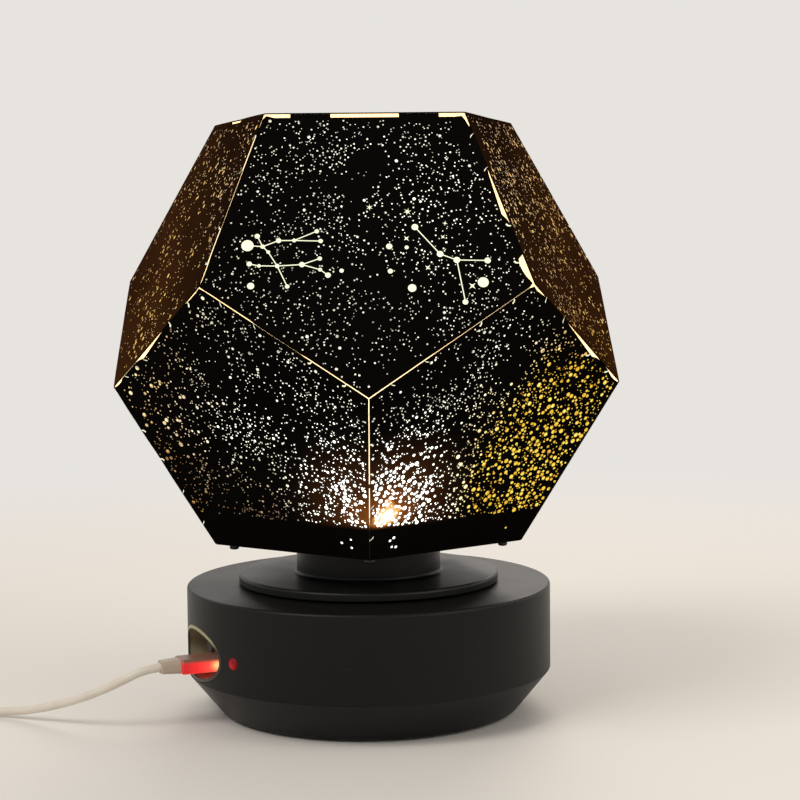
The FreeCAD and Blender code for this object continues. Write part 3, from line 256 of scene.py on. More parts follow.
class Finish(Shading):
    """One material: a Principled shader with constants, and nodes added by expressions."""

    def __init__(self, name, colour, roughness, **constants):
        self.material = bpy.data.materials.new(name)
        self.material.use_nodes = True
        super().__init__(self.material.node_tree)
        self.shader = self.tree.nodes["Principled BSDF"]
        self.shader.inputs["Base Color"].default_value = (*colour, 1.0)
        self.shader.inputs["Roughness"].default_value = roughness
        for socket, value in constants.items():
            self.shader.inputs[socket.replace("_", " ")].default_value = value

    def feed(self, socket, value):
        self.tree.links.new(value.socket, self.shader.inputs[socket])
        return self

    def place(self):
        """Position on the piece, in metres, which turns with it."""
        return self.node("ShaderNodeTexCoord", output="Object")

    def axis(self, index, of="Object"):
        """X, Y or Z of the position on the piece, or of its normal."""
        vector = self.node("ShaderNodeTexCoord", output=of)
        return self.node("ShaderNodeSeparateXYZ", None, {0: vector}, output=index)

    def noise(self, scale, detail=3.0, rough=0.55, stretch=None):
        spot = self.place()
        if stretch:
            spot = self.node("ShaderNodeMapping", None, {"Vector": spot, "Scale": stretch})
        sockets = {"Vector": spot, "Scale": scale, "Detail": detail, "Roughness": rough}
        return self.node("ShaderNodeTexNoise", None, sockets)

    def ramp(self, factor, stops):
        return self.node("ShaderNodeValToRGB", {"stops": stops}, {"Fac": factor})

    def mix(self, factor, first, second):
        first, second = (side if isinstance(side, Value) else (*side, 1.0) for side in (first, second))
        return self.node("ShaderNodeMix", {"data_type": "RGBA"}, {0: factor, 6: first, 7: second}, output=2)

    def distance(self, point):
        return self.node("ShaderNodeVectorMath", {"operation": "DISTANCE"},
                         {0: self.place(), 1: tuple(point)}, output="Value")

    def close(self, point, reach, most=1.0):
        """Falls with the distance from a point, from the most down to 0, and is never above 1."""
        return (most - self.distance(point) / reach).clamp()

    def bump(self, height, strength, depth):
        sockets = {"Height": height, "Strength": strength, "Distance": depth}
        return self.feed("Normal", self.node("ShaderNodeBump", None, sockets))


def moulded(name, colour, roughness, grain=1400.0, depth=0.04 * MM, **constants):
    """Moulded plastic: fine spark texture, slight cloudiness in colour and gloss."""
    finish = Finish(name, colour, roughness, **constants)
    cloud = finish.noise(38.0)
    pale = tuple(min(1.0, c * 1.35 + 0.004) for c in colour)
    finish.feed("Base Color", finish.mix(cloud, colour, pale))
    finish.feed("Roughness", (cloud - 0.5) * 0.24 + roughness)
    return finish.bump(finish.noise(grain, 2.0), 0.35, depth)


def metal(name, colour, roughness):
    """Plated or brushed metal with drawn lines."""
    finish = Finish(name, colour, roughness, Metallic=1.0)
    lines = finish.noise(260.0, 4.0, 0.6, (1.0, 1.0, 12.0))
    finish.feed("Base Color", finish.mix(lines, tuple(c * 0.8 for c in colour), colour))
    finish.feed("Roughness", (lines - 0.5) * 0.25 + roughness)
    return finish.bump(lines, 0.2, 0.02 * MM)


def facing_up(finish):
    """0 on sides and undersides, 1 on faces that look up."""
    return (finish.axis(2, "Normal") * 1.6 - 0.2).clamp()


def facing_side(finish):
    """1 on faces that look up and to the left or right, 0 elsewhere."""
    turned = finish.axis(0, "Normal").math("ABSOLUTE")
    return ((turned - 0.6) * 6.0).clamp() * (facing_up(finish) * 2.0).clamp()


def towards_sides(finish):
    """0 over the globe's middle, 1 towards its left and right."""
    return ((finish.axis(0).math("ABSOLUTE") - SIDE_FROM) / SIDE_REACH).clamp()


def film_outside():
    """Satin black printed film, with a faint painted glow of the lamp's hot spot near it and a painted warm
    reflection on its side faces.
    """
    finish = Finish("film_outside", (0.003, 0.0028, 0.0026), 0.42, Specular_IOR_Level=0.0,
                    Emission_Strength=1.1)
    haze = finish.noise(22.0, 5.0, 0.6)
    dust = finish.noise(900.0, 2.0)
    finish.feed("Base Color", finish.mix(haze, (0.0015, 0.0014, 0.0013), (0.005, 0.0044, 0.0038)))
    finish.feed("Roughness", haze * 0.16 + dust * 0.1 + 0.3)
    # Painted glow of the lamp's hot spot: a bright core in a ragged halo
    away = finish.distance(HOT_SPOT) + (finish.noise(210.0, 2.0, 0.6) - 0.5) * HOT_RAGGED
    core = (1.0 - away / HOT_CORE).clamp()
    halo = (1.0 - away / HOT_HALO).clamp()
    above_tray = ((finish.axis(2) - GLOW_FLOOR) / GLOW_RISE).clamp()
    # Painted warm reflection on the faces that look up and to the sides
    painted_side_reflection = (towards_sides(finish) * 0.6 + 0.4) * facing_side(finish) * haze * 0.135
    glow = (core * 0.72 + (halo ** 2.0) * 0.3 + painted_side_reflection) * above_tray
    stops = (
        (0.0, (0.0, 0.0, 0.0)),
        (0.12, (0.045, 0.014, 0.0025)),
        (0.3, (0.35, 0.10, 0.015)),
        (0.55, (1.0, 0.55, 0.16)),
        (0.8, (1.0, 0.93, 0.7)),
        (1.0, (1.0, 1.0, 0.95)),
    )
    finish.feed("Emission Color", finish.ramp(glow, stops))
    return finish.bump(haze, 0.3, 0.25 * MM)


def film_inside():
    """The film's lit inner face, seen through the seams."""
    finish = Finish("film_inside", (0.5, 0.42, 0.3), 0.6, Emission_Strength=1.3)
    away = (finish.distance(LAMP) / INSIDE_FADE).clamp()
    stops = ((0.0, (1.0, 0.9, 0.66)), (0.55, (1.0, 0.80, 0.47)), (1.0, (0.95, 0.66, 0.33)))
    return finish.feed("Emission Color", finish.ramp(away, stops))


# Colours of the windows from their dimmest to their brightest
PALE_GLOW = (
    (0.0, (0.035, 0.03, 0.022)),
    (0.3, (0.15, 0.14, 0.11)),
    (0.55, (0.38, 0.37, 0.30)),
    (0.8, (0.72, 0.71, 0.60)),
    (1.0, (1.0, 1.0, 0.94)),
)
GOLDEN_GLOW = (
    (0.0, (0.03, 0.010, 0.001)),
    (0.3, (0.14, 0.055, 0.003)),
    (0.55, (0.34, 0.18, 0.006)),
    (0.8, (0.43, 0.31, 0.03)),
    (1.0, (0.47, 0.43, 0.13)),
)
ORANGE_GLOW = (
    (0.0, (0.03, 0.008, 0.001)),
    (0.5, (0.26, 0.085, 0.004)),
    (1.0, (0.45, 0.19, 0.01)),
)


def star_glow():
    """Clear windows in the film: white-hot near the lamp, pale above and golden towards the sides."""
    finish = Finish("star_glow", (0.07, 0.05, 0.025), 0.4, Specular_IOR_Level=0.1, Emission_Strength=2.4)
    near = finish.close(HOT_SPOT, WHITE_REACH)
    spot = finish.close(GOLDEN_PATCH, GOLDEN_REACH, 1.15)
    patch = finish.noise(19.0, 2.0, 0.5)
    twinkle = finish.noise(750.0, 1.0, 0.5)
    reach = ((finish.distance(LAMP) - LAMP_NEAR) / LAMP_FADE).clamp()
    unlit = (1.0 - near * 2.6).clamp() * (1.0 - spot * 1.6).clamp()
    shade = ((SHADE_TOP - finish.axis(2)) / SHADE_DEPTH).clamp() * unlit
    sideways = towards_sides(finish)
    dimmed = facing_side(finish)
    outer = sideways * (1.0 - spot * 2.0).clamp() * (1.0 - dimmed)
    level = (0.66 - reach * 0.10 + (patch - 0.5) * 0.9 + (twinkle - 0.5) * 1.1 + near * 0.9 - shade * 0.42
             + spot * 0.16 - dimmed * 0.16 - outer * 0.12).clamp()
    cloud = finish.noise(60.0, 3.0, 0.6)
    embers = finish.close(EMBER_SPOT, EMBER_REACH, 1.1)
    ember = ((finish.noise(70.0, 3.0, 0.6) - 0.62) * 5.0 + embers).clamp()
    mixed = (finish.noise(520.0, 1.0, 0.5) - 0.5) * 0.9
    tint = (spot * 1.25 + (spot + sideways * 0.9) * (cloud * 0.9 + mixed + 0.2) + dimmed + shade * 0.55
            - near * 0.5).clamp()
    warm = finish.mix(ember, finish.ramp(level, GOLDEN_GLOW), finish.ramp(level, ORANGE_GLOW))
    return finish.feed("Emission Color", finish.mix(tint, finish.ramp(level, PALE_GLOW), warm))


def figure_glow():
    """Pale green-cream of the figures' lines and larger stars."""
    finish = Finish("figure_glow", (0.4, 0.4, 0.3), 0.4, Specular_IOR_Level=0.1, Emission_Strength=0.95)
    cloud = finish.noise(120.0, 2.0)
    return finish.feed("Emission Color", finish.mix(cloud, (0.78, 0.77, 0.52), (0.93, 0.96, 0.68)))


def lit_plastic(name, colour, glow, strength):
    """Clear or tinted plastic lit from behind."""
    finish = Finish(name, colour, 0.25, Coat_Weight=0.3, Emission_Strength=strength)
    cloud = finish.noise(900.0, 2.0)
    return finish.feed("Emission Color", finish.mix(cloud, glow, tuple(g * 0.75 for g in glow)))


def plug_grip_finish():
    """Milky grip with the red light from the port's end painted on it, and painted brownish shade on top."""
    finish = Finish("plug_grip", (0.3, 0.05, 0.04), 0.34, Emission_Strength=1.0)
    low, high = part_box("usb_plug_grip")
    level = Vector((0.0, 0.0, (low.z + high.z) / 2.0))
    hot_end = PORT_WAY * PLUG_HOT_REACH + PORT_SIDE * PLUG_HALF_WIDTH + level
    along = ((finish.distance(hot_end) - PLUG_GLOW[0]) / PLUG_GLOW[1]).clamp()
    # Painted light and shade: red base colour and glow on the sides, brownish and dark on the unlit top
    top = facing_up(finish)
    finish.feed("Base Color", finish.mix(top, (0.22, 0.012, 0.012), (0.22, 0.125, 0.09)))
    stops = (
        (0.0, (1.0, 0.66, 0.26)),
        (0.07, (1.0, 0.34, 0.12)),
        (0.2, (1.0, 0.09, 0.07)),
        (0.62, (0.86, 0.016, 0.018)),
        (1.0, (0.5, 0.004, 0.006)),
    )
    finish.feed("Emission Color", finish.mix(top, finish.ramp(along, stops), (0.02, 0.0, 0.0)))
    return finish.bump(finish.noise(1500.0, 2.0), 0.2, 0.03 * MM)


def lens_finish():
    """Red lens with the small lamp's spot low on one side of it."""
    finish = Finish("lens_red", (0.05, 0.001, 0.002), 0.3, Specular_IOR_Level=0.15, Emission_Strength=1.0)
    low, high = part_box("indicator_lens")
    spot = Vector((low.x, (low.y + high.y) / 2.0, low.z)) + LENS_SPOT
    away = ((finish.distance(spot) - LENS_GLOW[0]) / LENS_GLOW[1]).clamp()
    stops = (
        (0.0, (1.0, 0.26, 0.24)),
        (0.22, (1.0, 0.05, 0.05)),
        (0.5, (0.42, 0.006, 0.01)),
        (1.0, (0.16, 0.001, 0.003)),
    )
    return finish.feed("Emission Color", finish.ramp(away, stops))


def recess_finish():
    """Grey-olive lining of the port recess, dark at its mouth but for a painted highlight along the upper
    edge.
    """
    finish = Finish("recess_olive", (0.11, 0.10, 0.065), 0.36)
    x, y, z = (finish.axis(index) for index in range(3))
    out = (x * x + y * y) ** 0.5
    mouth = ((out - RECESS_MOUTH) / (0.6 * MM)).clamp()
    # Painted highlight: the mouth's edge is bright above this height
    upper = ((z - RECESS_HIGHLIGHT_FROM) / (2.5 * MM)).clamp()
    cloud = finish.noise(160.0, 3.0)
    inner = finish.mix(cloud, (0.17, 0.155, 0.095), (0.25, 0.23, 0.15))
    edge = finish.mix(upper, (0.012, 0.011, 0.009), (0.30, 0.28, 0.15))
    finish.feed("Base Color", finish.mix(mouth, inner, edge))
    finish.feed("Roughness", cloud * 0.2 + 0.28)
    return finish.bump(finish.noise(1500.0, 2.0), 0.3, 0.04 * MM)


def board_finish():
    """Solder mask with faint copper tracks under it."""
    finish = Finish("board_mask", (0.02, 0.13, 0.05), 0.35)
    tracks = finish.node("ShaderNodeTexBrick", None, {
        "Vector": finish.place(), "Scale": 220.0, "Mortar Size": 0.06, "Color1": (0.02, 0.12, 0.05, 1.0),
        "Color2": (0.025, 0.15, 0.06, 1.0), "Mortar": (0.05, 0.22, 0.09, 1.0),
    })
    finish.feed("Base Color", tracks)
    return finish.bump(finish.noise(400.0, 2.0), 0.15, 0.03 * MM)


def lead_finish():
    """Insulated leads, red on one side of the pair and black on the other."""
    finish = Finish("lead_jacket", (0.4, 0.02, 0.02), 0.35)
    pick = finish.noise(60.0, 0.0)
    finish.feed("Base Color", finish.mix((pick - 0.5) * 40.0, (0.45, 0.02, 0.02), (0.02, 0.02, 0.02)))
    return finish


def cable_finish():
    """Off-white cable jacket, a little grubby, with a faint drawn texture."""
    finish = Finish("cable_jacket", (0.72, 0.66, 0.57), 0.42)
    grime = finish.noise(55.0, 4.0, 0.6)
    finish.feed("Base Color", finish.mix((grime - 0.45) * 2.2, (0.74, 0.68, 0.6), (0.60, 0.53, 0.45)))
    finish.feed("Roughness", grime * 0.2 + 0.32)
    return finish.bump(finish.noise(1100.0, 2.0), 0.25, 0.04 * MM)


def base_finish():
    """Satin black housing: fine spark texture and faint handling marks."""
    finish = Finish("base_black", (0.005, 0.005, 0.005), 0.42, Specular_IOR_Level=0.16)
    cloud = finish.noise(26.0, 4.0, 0.6)
    marks = finish.noise(90.0, 6.0, 0.7, (1.0, 1.0, 4.0))
    scuff = ((marks - 0.62) * 9.0).clamp() * 0.5
    colour = finish.mix(cloud, (0.0035, 0.0034, 0.0033), (0.0075, 0.007, 0.0065))
    finish.feed("Base Color", finish.mix(scuff, colour, (0.016, 0.015, 0.014)))
    finish.feed("Roughness", (cloud - 0.5) * 0.22 + scuff * 0.12 + 0.40)
    return finish.bump(finish.noise(2100.0, 2.0), 0.3, 0.04 * MM)

# Mesh and object helpers

def add_object(name, data):
    piece = bpy.data.objects.new(name, data)
    bpy.context.scene.collection.objects.link(piece)
    return piece


def add_piece(name, mesh):
    """An object from a finished bmesh."""
    mesh.normal_update()
    data = bpy.data.meshes.new(name)
    mesh.to_mesh(data)
    mesh.free()
    return add_object(name, data)


def wall(mesh, first, second):
    """Side faces between two outlines of the same length."""
    faces = []
    for k in range(len(first)):
        after = (k + 1) % len(first)
        faces.append(mesh.faces.new([first[k], second[k], second[after], first[after]]))
    return faces


def slab(mesh, first, second):
    """A closed solid between two outlines of the same length."""
    ends = [mesh.faces.new(first), mesh.faces.new(second[::-1])]
    return ends + wall(mesh, first, second)


# Globe geometry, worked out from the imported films

def ring_points(radius, turn, height):
    angles = [math.radians(turn + 72.0 * k) for k in range(5)]
    return [Vector((radius * math.cos(angle), radius * math.sin(angle), height)) for angle in angles]


def globe_corners():
    """Corners of the twelve-sided globe as four rings of five."""
    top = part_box("film_top")[1].z
    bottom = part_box("film_bottom")[0].z
    across = 2.0 * math.sin(math.radians(36.0))
    rise_share = math.sqrt(1.0 - ((GOLDEN - 1.0) / across) ** 2)
    middle_share = math.sqrt(1.0 - (2.0 * GOLDEN / across * math.sin(math.radians(18.0))) ** 2)
    edge = (top - bottom) / (2.0 * rise_share + middle_share)
    small = edge / across
    large = small * GOLDEN
    rise = edge * rise_share
    return (
        ring_points(small, -90.0, bottom),
        ring_points(large, -90.0, bottom + rise),
        ring_points(large, -54.0, top - rise),
        ring_points(small, -54.0, top),
    )


class Panel:
    """One pentagonal film panel: its corners seen anticlockwise from outside, and its plane."""

    def __init__(self, node, corners, middle):
        self.node = node
        self.centre = sum(corners, Vector()) / 5.0
        self.normal = (corners[1] - corners[0]).cross(corners[2] - corners[1]).normalized()
        if self.normal.dot(self.centre - middle) < 0:
            corners = corners[::-1]
            self.normal = -self.normal
        self.corners = corners
        self.inradius = ((corners[0] + corners[1]) / 2.0 - self.centre).length
        level = Vector((0, 0, 1)).cross(self.normal)
        self.right = level.normalized() if level.length > 0.1 else Vector((1, 0, 0))
        self.up = self.normal.cross(self.right)
        self.seed = sum(ord(letter) * (place + 1) for place, letter in enumerate(node))
        self.gaps = {}

    def edge_at(self, index):
        return self.corners[index], self.corners[(index + 1) % 5]

    def flat(self, point):
        """Place of a point on the panel as right and up from its centre."""
        away = point - self.centre
        return away.dot(self.right), away.dot(self.up)

    def lift(self, x, y):
        """How far the film bows out of its plane there."""
        spot = Vector((x, y, self.seed * 0.37)) * WAVES_PER_METRE
        edge_ease = 1.0 - min(1.0, math.hypot(x, y) / self.inradius) ** 2 * 0.6
        return WAVINESS * noise.noise(spot) * edge_ease

    def point(self, x, y, depth=0.0):
        return self.centre + self.right * x + self.up * y + self.normal * (self.lift(x, y) - depth)

    def inside(self, x, y, margin):
        """Whether a place is inside every edge by a margin."""
        place = self.centre + self.right * x + self.up * y
        for index in range(5):
            start, end = self.edge_at(index)
            inward = self.normal.cross((end - start).normalized())
            if (place - start).dot(inward) < margin + self.gap(index, 0.5):
                return False
        return True

    def gap(self, index, share):
        """Width of the seam beside an edge at a share of its length, from its named stops."""
        stops = self.gaps.get(index, ((0.0, PANEL_GAP), (1.0, PANEL_GAP)))
        for (low, first), (high, second) in zip(stops, stops[1:]):
            if share <= high:
                return first + (second - first) * (share - low) / (high - low)
        return stops[-1][1]


def shared(panel, other):
    """Index of the panel's edge that it shares with another, or None."""
    for index in range(5):
        start, end = panel.edge_at(index)
        near = [c for c in other.corners if (c - start).length < MM or (c - end).length < MM]
        if len(near) == 2:
            return index
    return None


def make_panels():
    low, low_mid, high_mid, high = globe_corners()
    middle = Vector((0.0, 0.0, (low[0].z + high[0].z) / 2.0))
    panels = {"film_top": Panel("film_top", high, middle)}
    for k in range(5):
        after = (k + 1) % 5
        before = (k - 1) % 5
        name = "film_lower_%d" % (k + 1)
        panels[name] = Panel(name, [low[k], low[after], low_mid[after], high_mid[k], low_mid[k]], middle)
        name = "film_upper_%d" % (k + 1)
        panels[name] = Panel(name, [high[before], high[k], high_mid[k], low_mid[k], high_mid[before]], middle)
    return panels


def tab_owners(panels):
    """(owner, neighbour, spans) for every seam; the owner's tabs fold behind the neighbour."""
    seams = []
    for k in range(5):
        after = (k + 1) % 5
        upper = panels["film_upper_%d" % (k + 1)]
        lower = panels["film_lower_%d" % (k + 1)]
        seams.append((panels["film_top"], upper, TAB_SPANS))
        seams.append((upper, panels["film_upper_%d" % (after + 1)], TAB_SPANS))
        seams.append((lower, panels["film_lower_%d" % (after + 1)], LOW_TAB_SPANS))
        for other in range(5):
            neighbour = panels["film_lower_%d" % (other + 1)]
            if shared(upper, neighbour) is not None:
                seams.append((upper, neighbour, TAB_SPANS))
    return seams


def set_gaps(panels):
    """Seams stand open a little between their tabs, and wider below the top film but at its sides."""
    luck = random.Random(7)
    for owner, neighbour, spans in tab_owners(panels):
        opening = luck.uniform(*OPEN_GAP) * MM
        (a, b), (c, d) = spans
        stops = ((0.0, opening * 0.6), (a, TIGHT_GAP), (b, TIGHT_GAP), ((b + c) / 2.0, opening),
                 (c, TIGHT_GAP), (d, TIGHT_GAP), (1.0, opening))
        owner.gaps[shared(owner, neighbour)] = stops
        stepped = owner.node == "film_top" and neighbour.node not in ("film_upper_2", "film_upper_5")
        wide = TOP_GAP if stepped else PANEL_GAP
        neighbour.gaps[shared(neighbour, owner)] = ((0.0, wide), (1.0, wide))


# Creased seams: film, neighbour, and shares from the seam's upper end with the gap in millimetres
CREASED_SEAMS = (
    ("upper_1", "upper_2", ((0.0, 1.2), (0.12, 0.2), (0.33, 0.12), (0.345, 0.45), (0.6, 1.55),
                            (0.645, 0.2), (0.85, 0.2), (0.87, 2.3), (0.92, 2.4), (1.0, 1.3))),
    ("lower_1", "upper_2", ((0.0, 1.3), (0.13, 0.15), (0.35, 0.12), (0.37, 0.3), (0.7, 1.5),
                            (0.75, 0.2), (0.86, 0.3), (0.92, 1.0), (1.0, 0.8))),
    ("lower_5", "upper_5", ((0.0, 0.6), (0.13, 0.5), (0.16, 0.12), (0.37, 0.12), (0.68, 1.5),
                            (0.71, 0.35), (0.9, 0.35), (0.94, 0.9), (1.0, 0.7))),
    ("upper_5", "upper_1", ((0.0, 0.42), (1.0, 0.42))),
    ("upper_1", "upper_5", ((0.0, 0.24), (0.82, 0.26), (0.88, 0.46), (1.0, 0.42))),
    ("upper_5", "top", ((0.0, 0.14), (0.4, 0.14), (0.42, 1.4), (0.6, 1.4), (0.62, 0.14), (1.0, 0.14))),
    ("upper_1", "lower_5", ((0.0, 0.05), (0.06, 0.25), (0.3, 0.28), (0.34, 0.04), (0.6, 0.04),
                            (0.64, 0.25), (1.0, 0.3))),
    ("lower_5", "upper_1", ((0.0, 0.1), (0.31, 0.12), (0.34, 0.08), (0.6, 0.08), (0.64, 0.12),
                            (1.0, 0.14))),
    ("upper_1", "lower_1", ((0.0, 0.08), (0.36, 0.1), (0.6, 0.14), (0.64, 0.25), (1.0, 0.3))),
    ("lower_5", "lower_1", ((0.0, 0.18), (0.77, 0.18), (0.79, 0.03), (1.0, 0.03))),
    ("lower_1", "lower_5", ((0.0, 0.14), (0.77, 0.14), (0.79, 0.03), (1.0, 0.03))),
)


def crease(panels):
    for name, other, stops in CREASED_SEAMS:
        panel = panels["film_" + name]
        seam = shared(panel, panels["film_" + other])
        start, end = panel.edge_at(seam)
        gaps = [(share, gap * MM) for share, gap in stops]
        if end.z > start.z:
            gaps = [(1.0 - share, gap) for share, gap in gaps[::-1]]
        panel.gaps[seam] = tuple(gaps)


def film_layer(mesh, panel, depth, shrink):
    """One face of the film, as rings of points about the panel's centre."""
    rings = [[mesh.verts.new(panel.point(0.0, 0.0, depth))]]
    for ring in range(1, PANEL_STEPS + 1):
        reach = ring / PANEL_STEPS
        near_edge = max(0.0, 1.0 - (1.0 - reach) * panel.inradius / EDGE_FALLOFF)
        row = []
        for index in range(5):
            start, end = panel.edge_at(index)
            for k in range(ring):
                share = k / ring
                place = panel.centre + (start + (end - start) * share - panel.centre) * reach
                gap = panel.gap(index, share)
                if k == 0:
                    gap = (gap + panel.gap((index - 1) % 5, 1.0)) / 2.0
                inset = 1.0 - (gap * near_edge + shrink * reach) / panel.inradius
                x, y = panel.flat(panel.centre + (place - panel.centre) * inset)
                row.append(mesh.verts.new(panel.point(x, y, depth)))
        rings.append(row)
    return rings


def fill_layer(mesh, rings, slot):
    """Triangles between the rings: slot 0 faces out of the globe and slot 1 into it."""
    for ring in range(PANEL_STEPS):
        inner, outer = rings[ring], rings[ring + 1]
        for index in range(5):
            for k in range(ring + 1):
                a = outer[(index * (ring + 1) + k) % len(outer)]
                b = outer[(index * (ring + 1) + k + 1) % len(outer)]
                c = inner[(index * ring + k) % len(inner)]
                faces = [[a, b, c]]
                if k < ring:
                    faces.append([c, b, inner[(index * ring + k + 1) % len(inner)]])
                for corners in faces:
                    mesh.faces.new(corners[::-1] if slot else corners).material_index = slot


def film_object(panel, tabs, tab_slot):
    """The panel's film as a closed thin solid with its tabs, lit on its inner face."""
    mesh = bmesh.new()
    layers = [film_layer(mesh, panel, 0.0, 0.0), film_layer(mesh, panel, FILM, FILM * FILM_MITRE)]
    for slot, rings in enumerate(layers):
        fill_layer(mesh, rings, slot)
    wall(mesh, layers[0][-1], layers[1][-1])
    for neighbour, spans in tabs:
        for span in spans:
            add_tab(mesh, panel, neighbour, span, tab_slot)
    return add_piece(panel.node.replace("film", "panel"), mesh)


def add_tab(mesh, owner, neighbour, span, slot):
    """Tab folded from the owner's edge behind its neighbour, as a thin closed flap."""
    start, end = owner.edge_at(shared(owner, neighbour))
    if start.z > end.z + MM:
        start, end = end, start
    along = (end - start).normalized()
    inward = neighbour.normal.cross(along)
    if inward.dot(neighbour.centre - start) < 0:
        inward = -inward
    length = (end - start).length
    low, high = span[0] * length, span[1] * length
    outline = ((low, 0.0), (high, 0.0), (high, TAB_DEPTH * 0.5), (high - TAB_TAPER, TAB_DEPTH),
               (low + TAB_TAPER, TAB_DEPTH), (low, TAB_DEPTH * 0.5))
    layers = []
    for depth in (FILM + TAB_CLEARANCE, 2.0 * FILM + TAB_CLEARANCE):
        base = start - neighbour.normal * depth
        layers.append([mesh.verts.new(base + along * a + inward * (b - TAB_ROOT)) for a, b in outline])
    for face in slab(mesh, *layers):
        face.material_index = slot


# Star windows

# Well-known line figures: right and up from the panel's centre and radius of each star in
# millimetres, then the pairs that lines join
TWINS = (
    ((-36.8, -2.8, 1.62), (-32.1, -3.2, 0.62), (-27.2, -1.2, 0.7), (-22.4, -1.2, 0.55),
     (-14.2, -1.5, 0.62), (-15.4, 1.9, 0.62), (-33.8, 0.4, 0.7), (-30.4, -5.1, 0.5),
     (-27.6, -9.9, 0.62), (-24.5, -16.9, 0.6), (-36.2, -9.1, 0.7), (-33.2, -9.8, 0.5),
     (-20.0, -9.5, 0.75), (-14.5, -7.5, 0.6), (-14.4, -11.3, 0.55), (-12.0, -13.2, 0.75)),
    ((0, 1), (1, 2), (2, 3), (3, 4), (3, 5), (6, 1), (1, 7), (7, 8), (8, 9), (10, 11), (11, 8),
     (8, 12), (12, 13), (12, 14), (14, 15)),
)
CRAB = (
    ((15.1, 3.1, 0.9), (22.7, -6.3, 0.88), (27.8, -8.4, 0.88), (37.3, -8.7, 0.85),
     (30.0, -22.7, 0.75)),
    ((0, 1), (1, 2), (2, 3), (2, 4)),
)
PLOUGH = (
    ((-30.0, 8.0, 0.95), (-20.0, 11.5, 0.85), (-12.0, 8.5, 0.8), (-3.0, 4.0, 0.7), (0.5, -6.0, 0.85),
     (14.0, -6.5, 0.9), (15.5, 5.5, 1.1)),
    ((0, 1), (1, 2), (2, 3), (3, 4), (4, 5), (5, 6), (6, 3)),
)
CHAIR = (
    ((-16.0, 14.0, 0.9), (-9.0, 4.0, 0.85), (0.0, 9.0, 1.1), (7.5, -1.0, 0.95), (17.0, 5.0, 0.8)),
    ((0, 1), (1, 2), (2, 3), (3, 4)),
)
HUNTER = (
    ((-9.0, 17.0, 1.15), (7.5, 14.0, 0.85), (-3.2, 1.0, 0.8), (0.0, 2.2, 0.8), (3.2, 3.5, 0.8),
     (-5.5, -13.0, 0.8), (10.0, -14.5, 1.2)),
    ((0, 1), (0, 2), (1, 4), (2, 3), (3, 4), (2, 5), (4, 6), (5, 6)),
)
SWAN = (
    ((0.0, 20.0, 1.1), (0.5, 9.0, 0.85), (-11.0, 5.0, 0.75), (-20.0, -2.0, 0.65), (11.5, 11.5, 0.8),
     (21.0, 16.0, 0.65), (1.5, -3.0, 0.6), (3.0, -17.0, 0.8)),
    ((0, 1), (1, 2), (2, 3), (1, 4), (4, 5), (1, 6), (6, 7)),
)
LION = (
    ((-20.0, -6.0, 1.1), (-19.0, 3.0, 0.7), (-13.0, 7.5, 0.8), (-9.5, 14.0, 0.65),
     (-15.5, 17.5, 0.6), (11.0, 5.0, 0.8), (22.0, -3.0, 1.0), (11.5, -5.0, 0.7)),
    ((0, 1), (1, 2), (2, 3), (3, 4), (2, 5), (5, 6), (6, 7), (7, 0), (5, 7)),
)
SCORPION = (
    ((-15.0, 18.0, 0.75), (-18.0, 11.0, 0.8), (-9.0, 9.0, 0.7), (-5.5, 5.0, 1.2), (-2.5, 0.5, 0.7),
     (0.5, -9.0, 0.75), (5.0, -17.0, 0.7), (14.0, -18.0, 0.75), (17.5, -11.0, 0.9)),
    ((0, 2), (1, 2), (2, 3), (3, 4), (4, 5), (5, 6), (6, 7), (7, 8)),
)
FIGURES = {
    "film_upper_1": (TWINS, CRAB),
    "film_upper_3": (HUNTER,),
    "film_upper_4": (SWAN,),
    "film_top": (PLOUGH,),
    "film_lower_2": (LION,),
    "film_lower_3": (SCORPION,),
    "film_lower_4": (CHAIR,),
}
LONE_STARS = {
    "film_upper_1": ((35.7, -16.1, 1.7), (13.8, -17.8, 1.3), (7.0, -3.5, 0.97), (12.4, -3.9, 0.65),
                     (-7.8, -11.7, 0.7), (7.2, -12.0, 0.8), (-35.7, -16.6, 1.1)),
}
# Pinholes through the band over the tray's wall, whose other windows are left out as painted shade
SHADED_BAND_STARS = {
    "film_lower_1": ((-26.2, -37.1, 0.45), (-25.0, -36.1, 0.5), (-24.7, -39.6, 0.4), (-23.0, -39.8, 0.45),
                     (22.7, -37.8, 0.4)),
    "film_lower_5": ((23.0, -38.0, 0.45), (27.1, -36.4, 0.35), (26.4, -39.6, 0.4)),
}
# Each pointed star's right, up, size, number of arms and turn in degrees
CROSS_STARS = {
    "film_upper_1": ((1.1, 10.1, 1.1, 6, 90.0), (12.9, 8.5, 1.3, 6, 75.0), (24.5, 4.3, 0.85, 4, 80.0),
                     (23.7, -0.4, 0.85, 4, 50.0), (12.4, -0.8, 1.1, 4, 40.0), (18.8, -10.9, 1.1, 4, 50.0),
                     (32.3, -17.3, 1.35, 4, 45.0)),
}


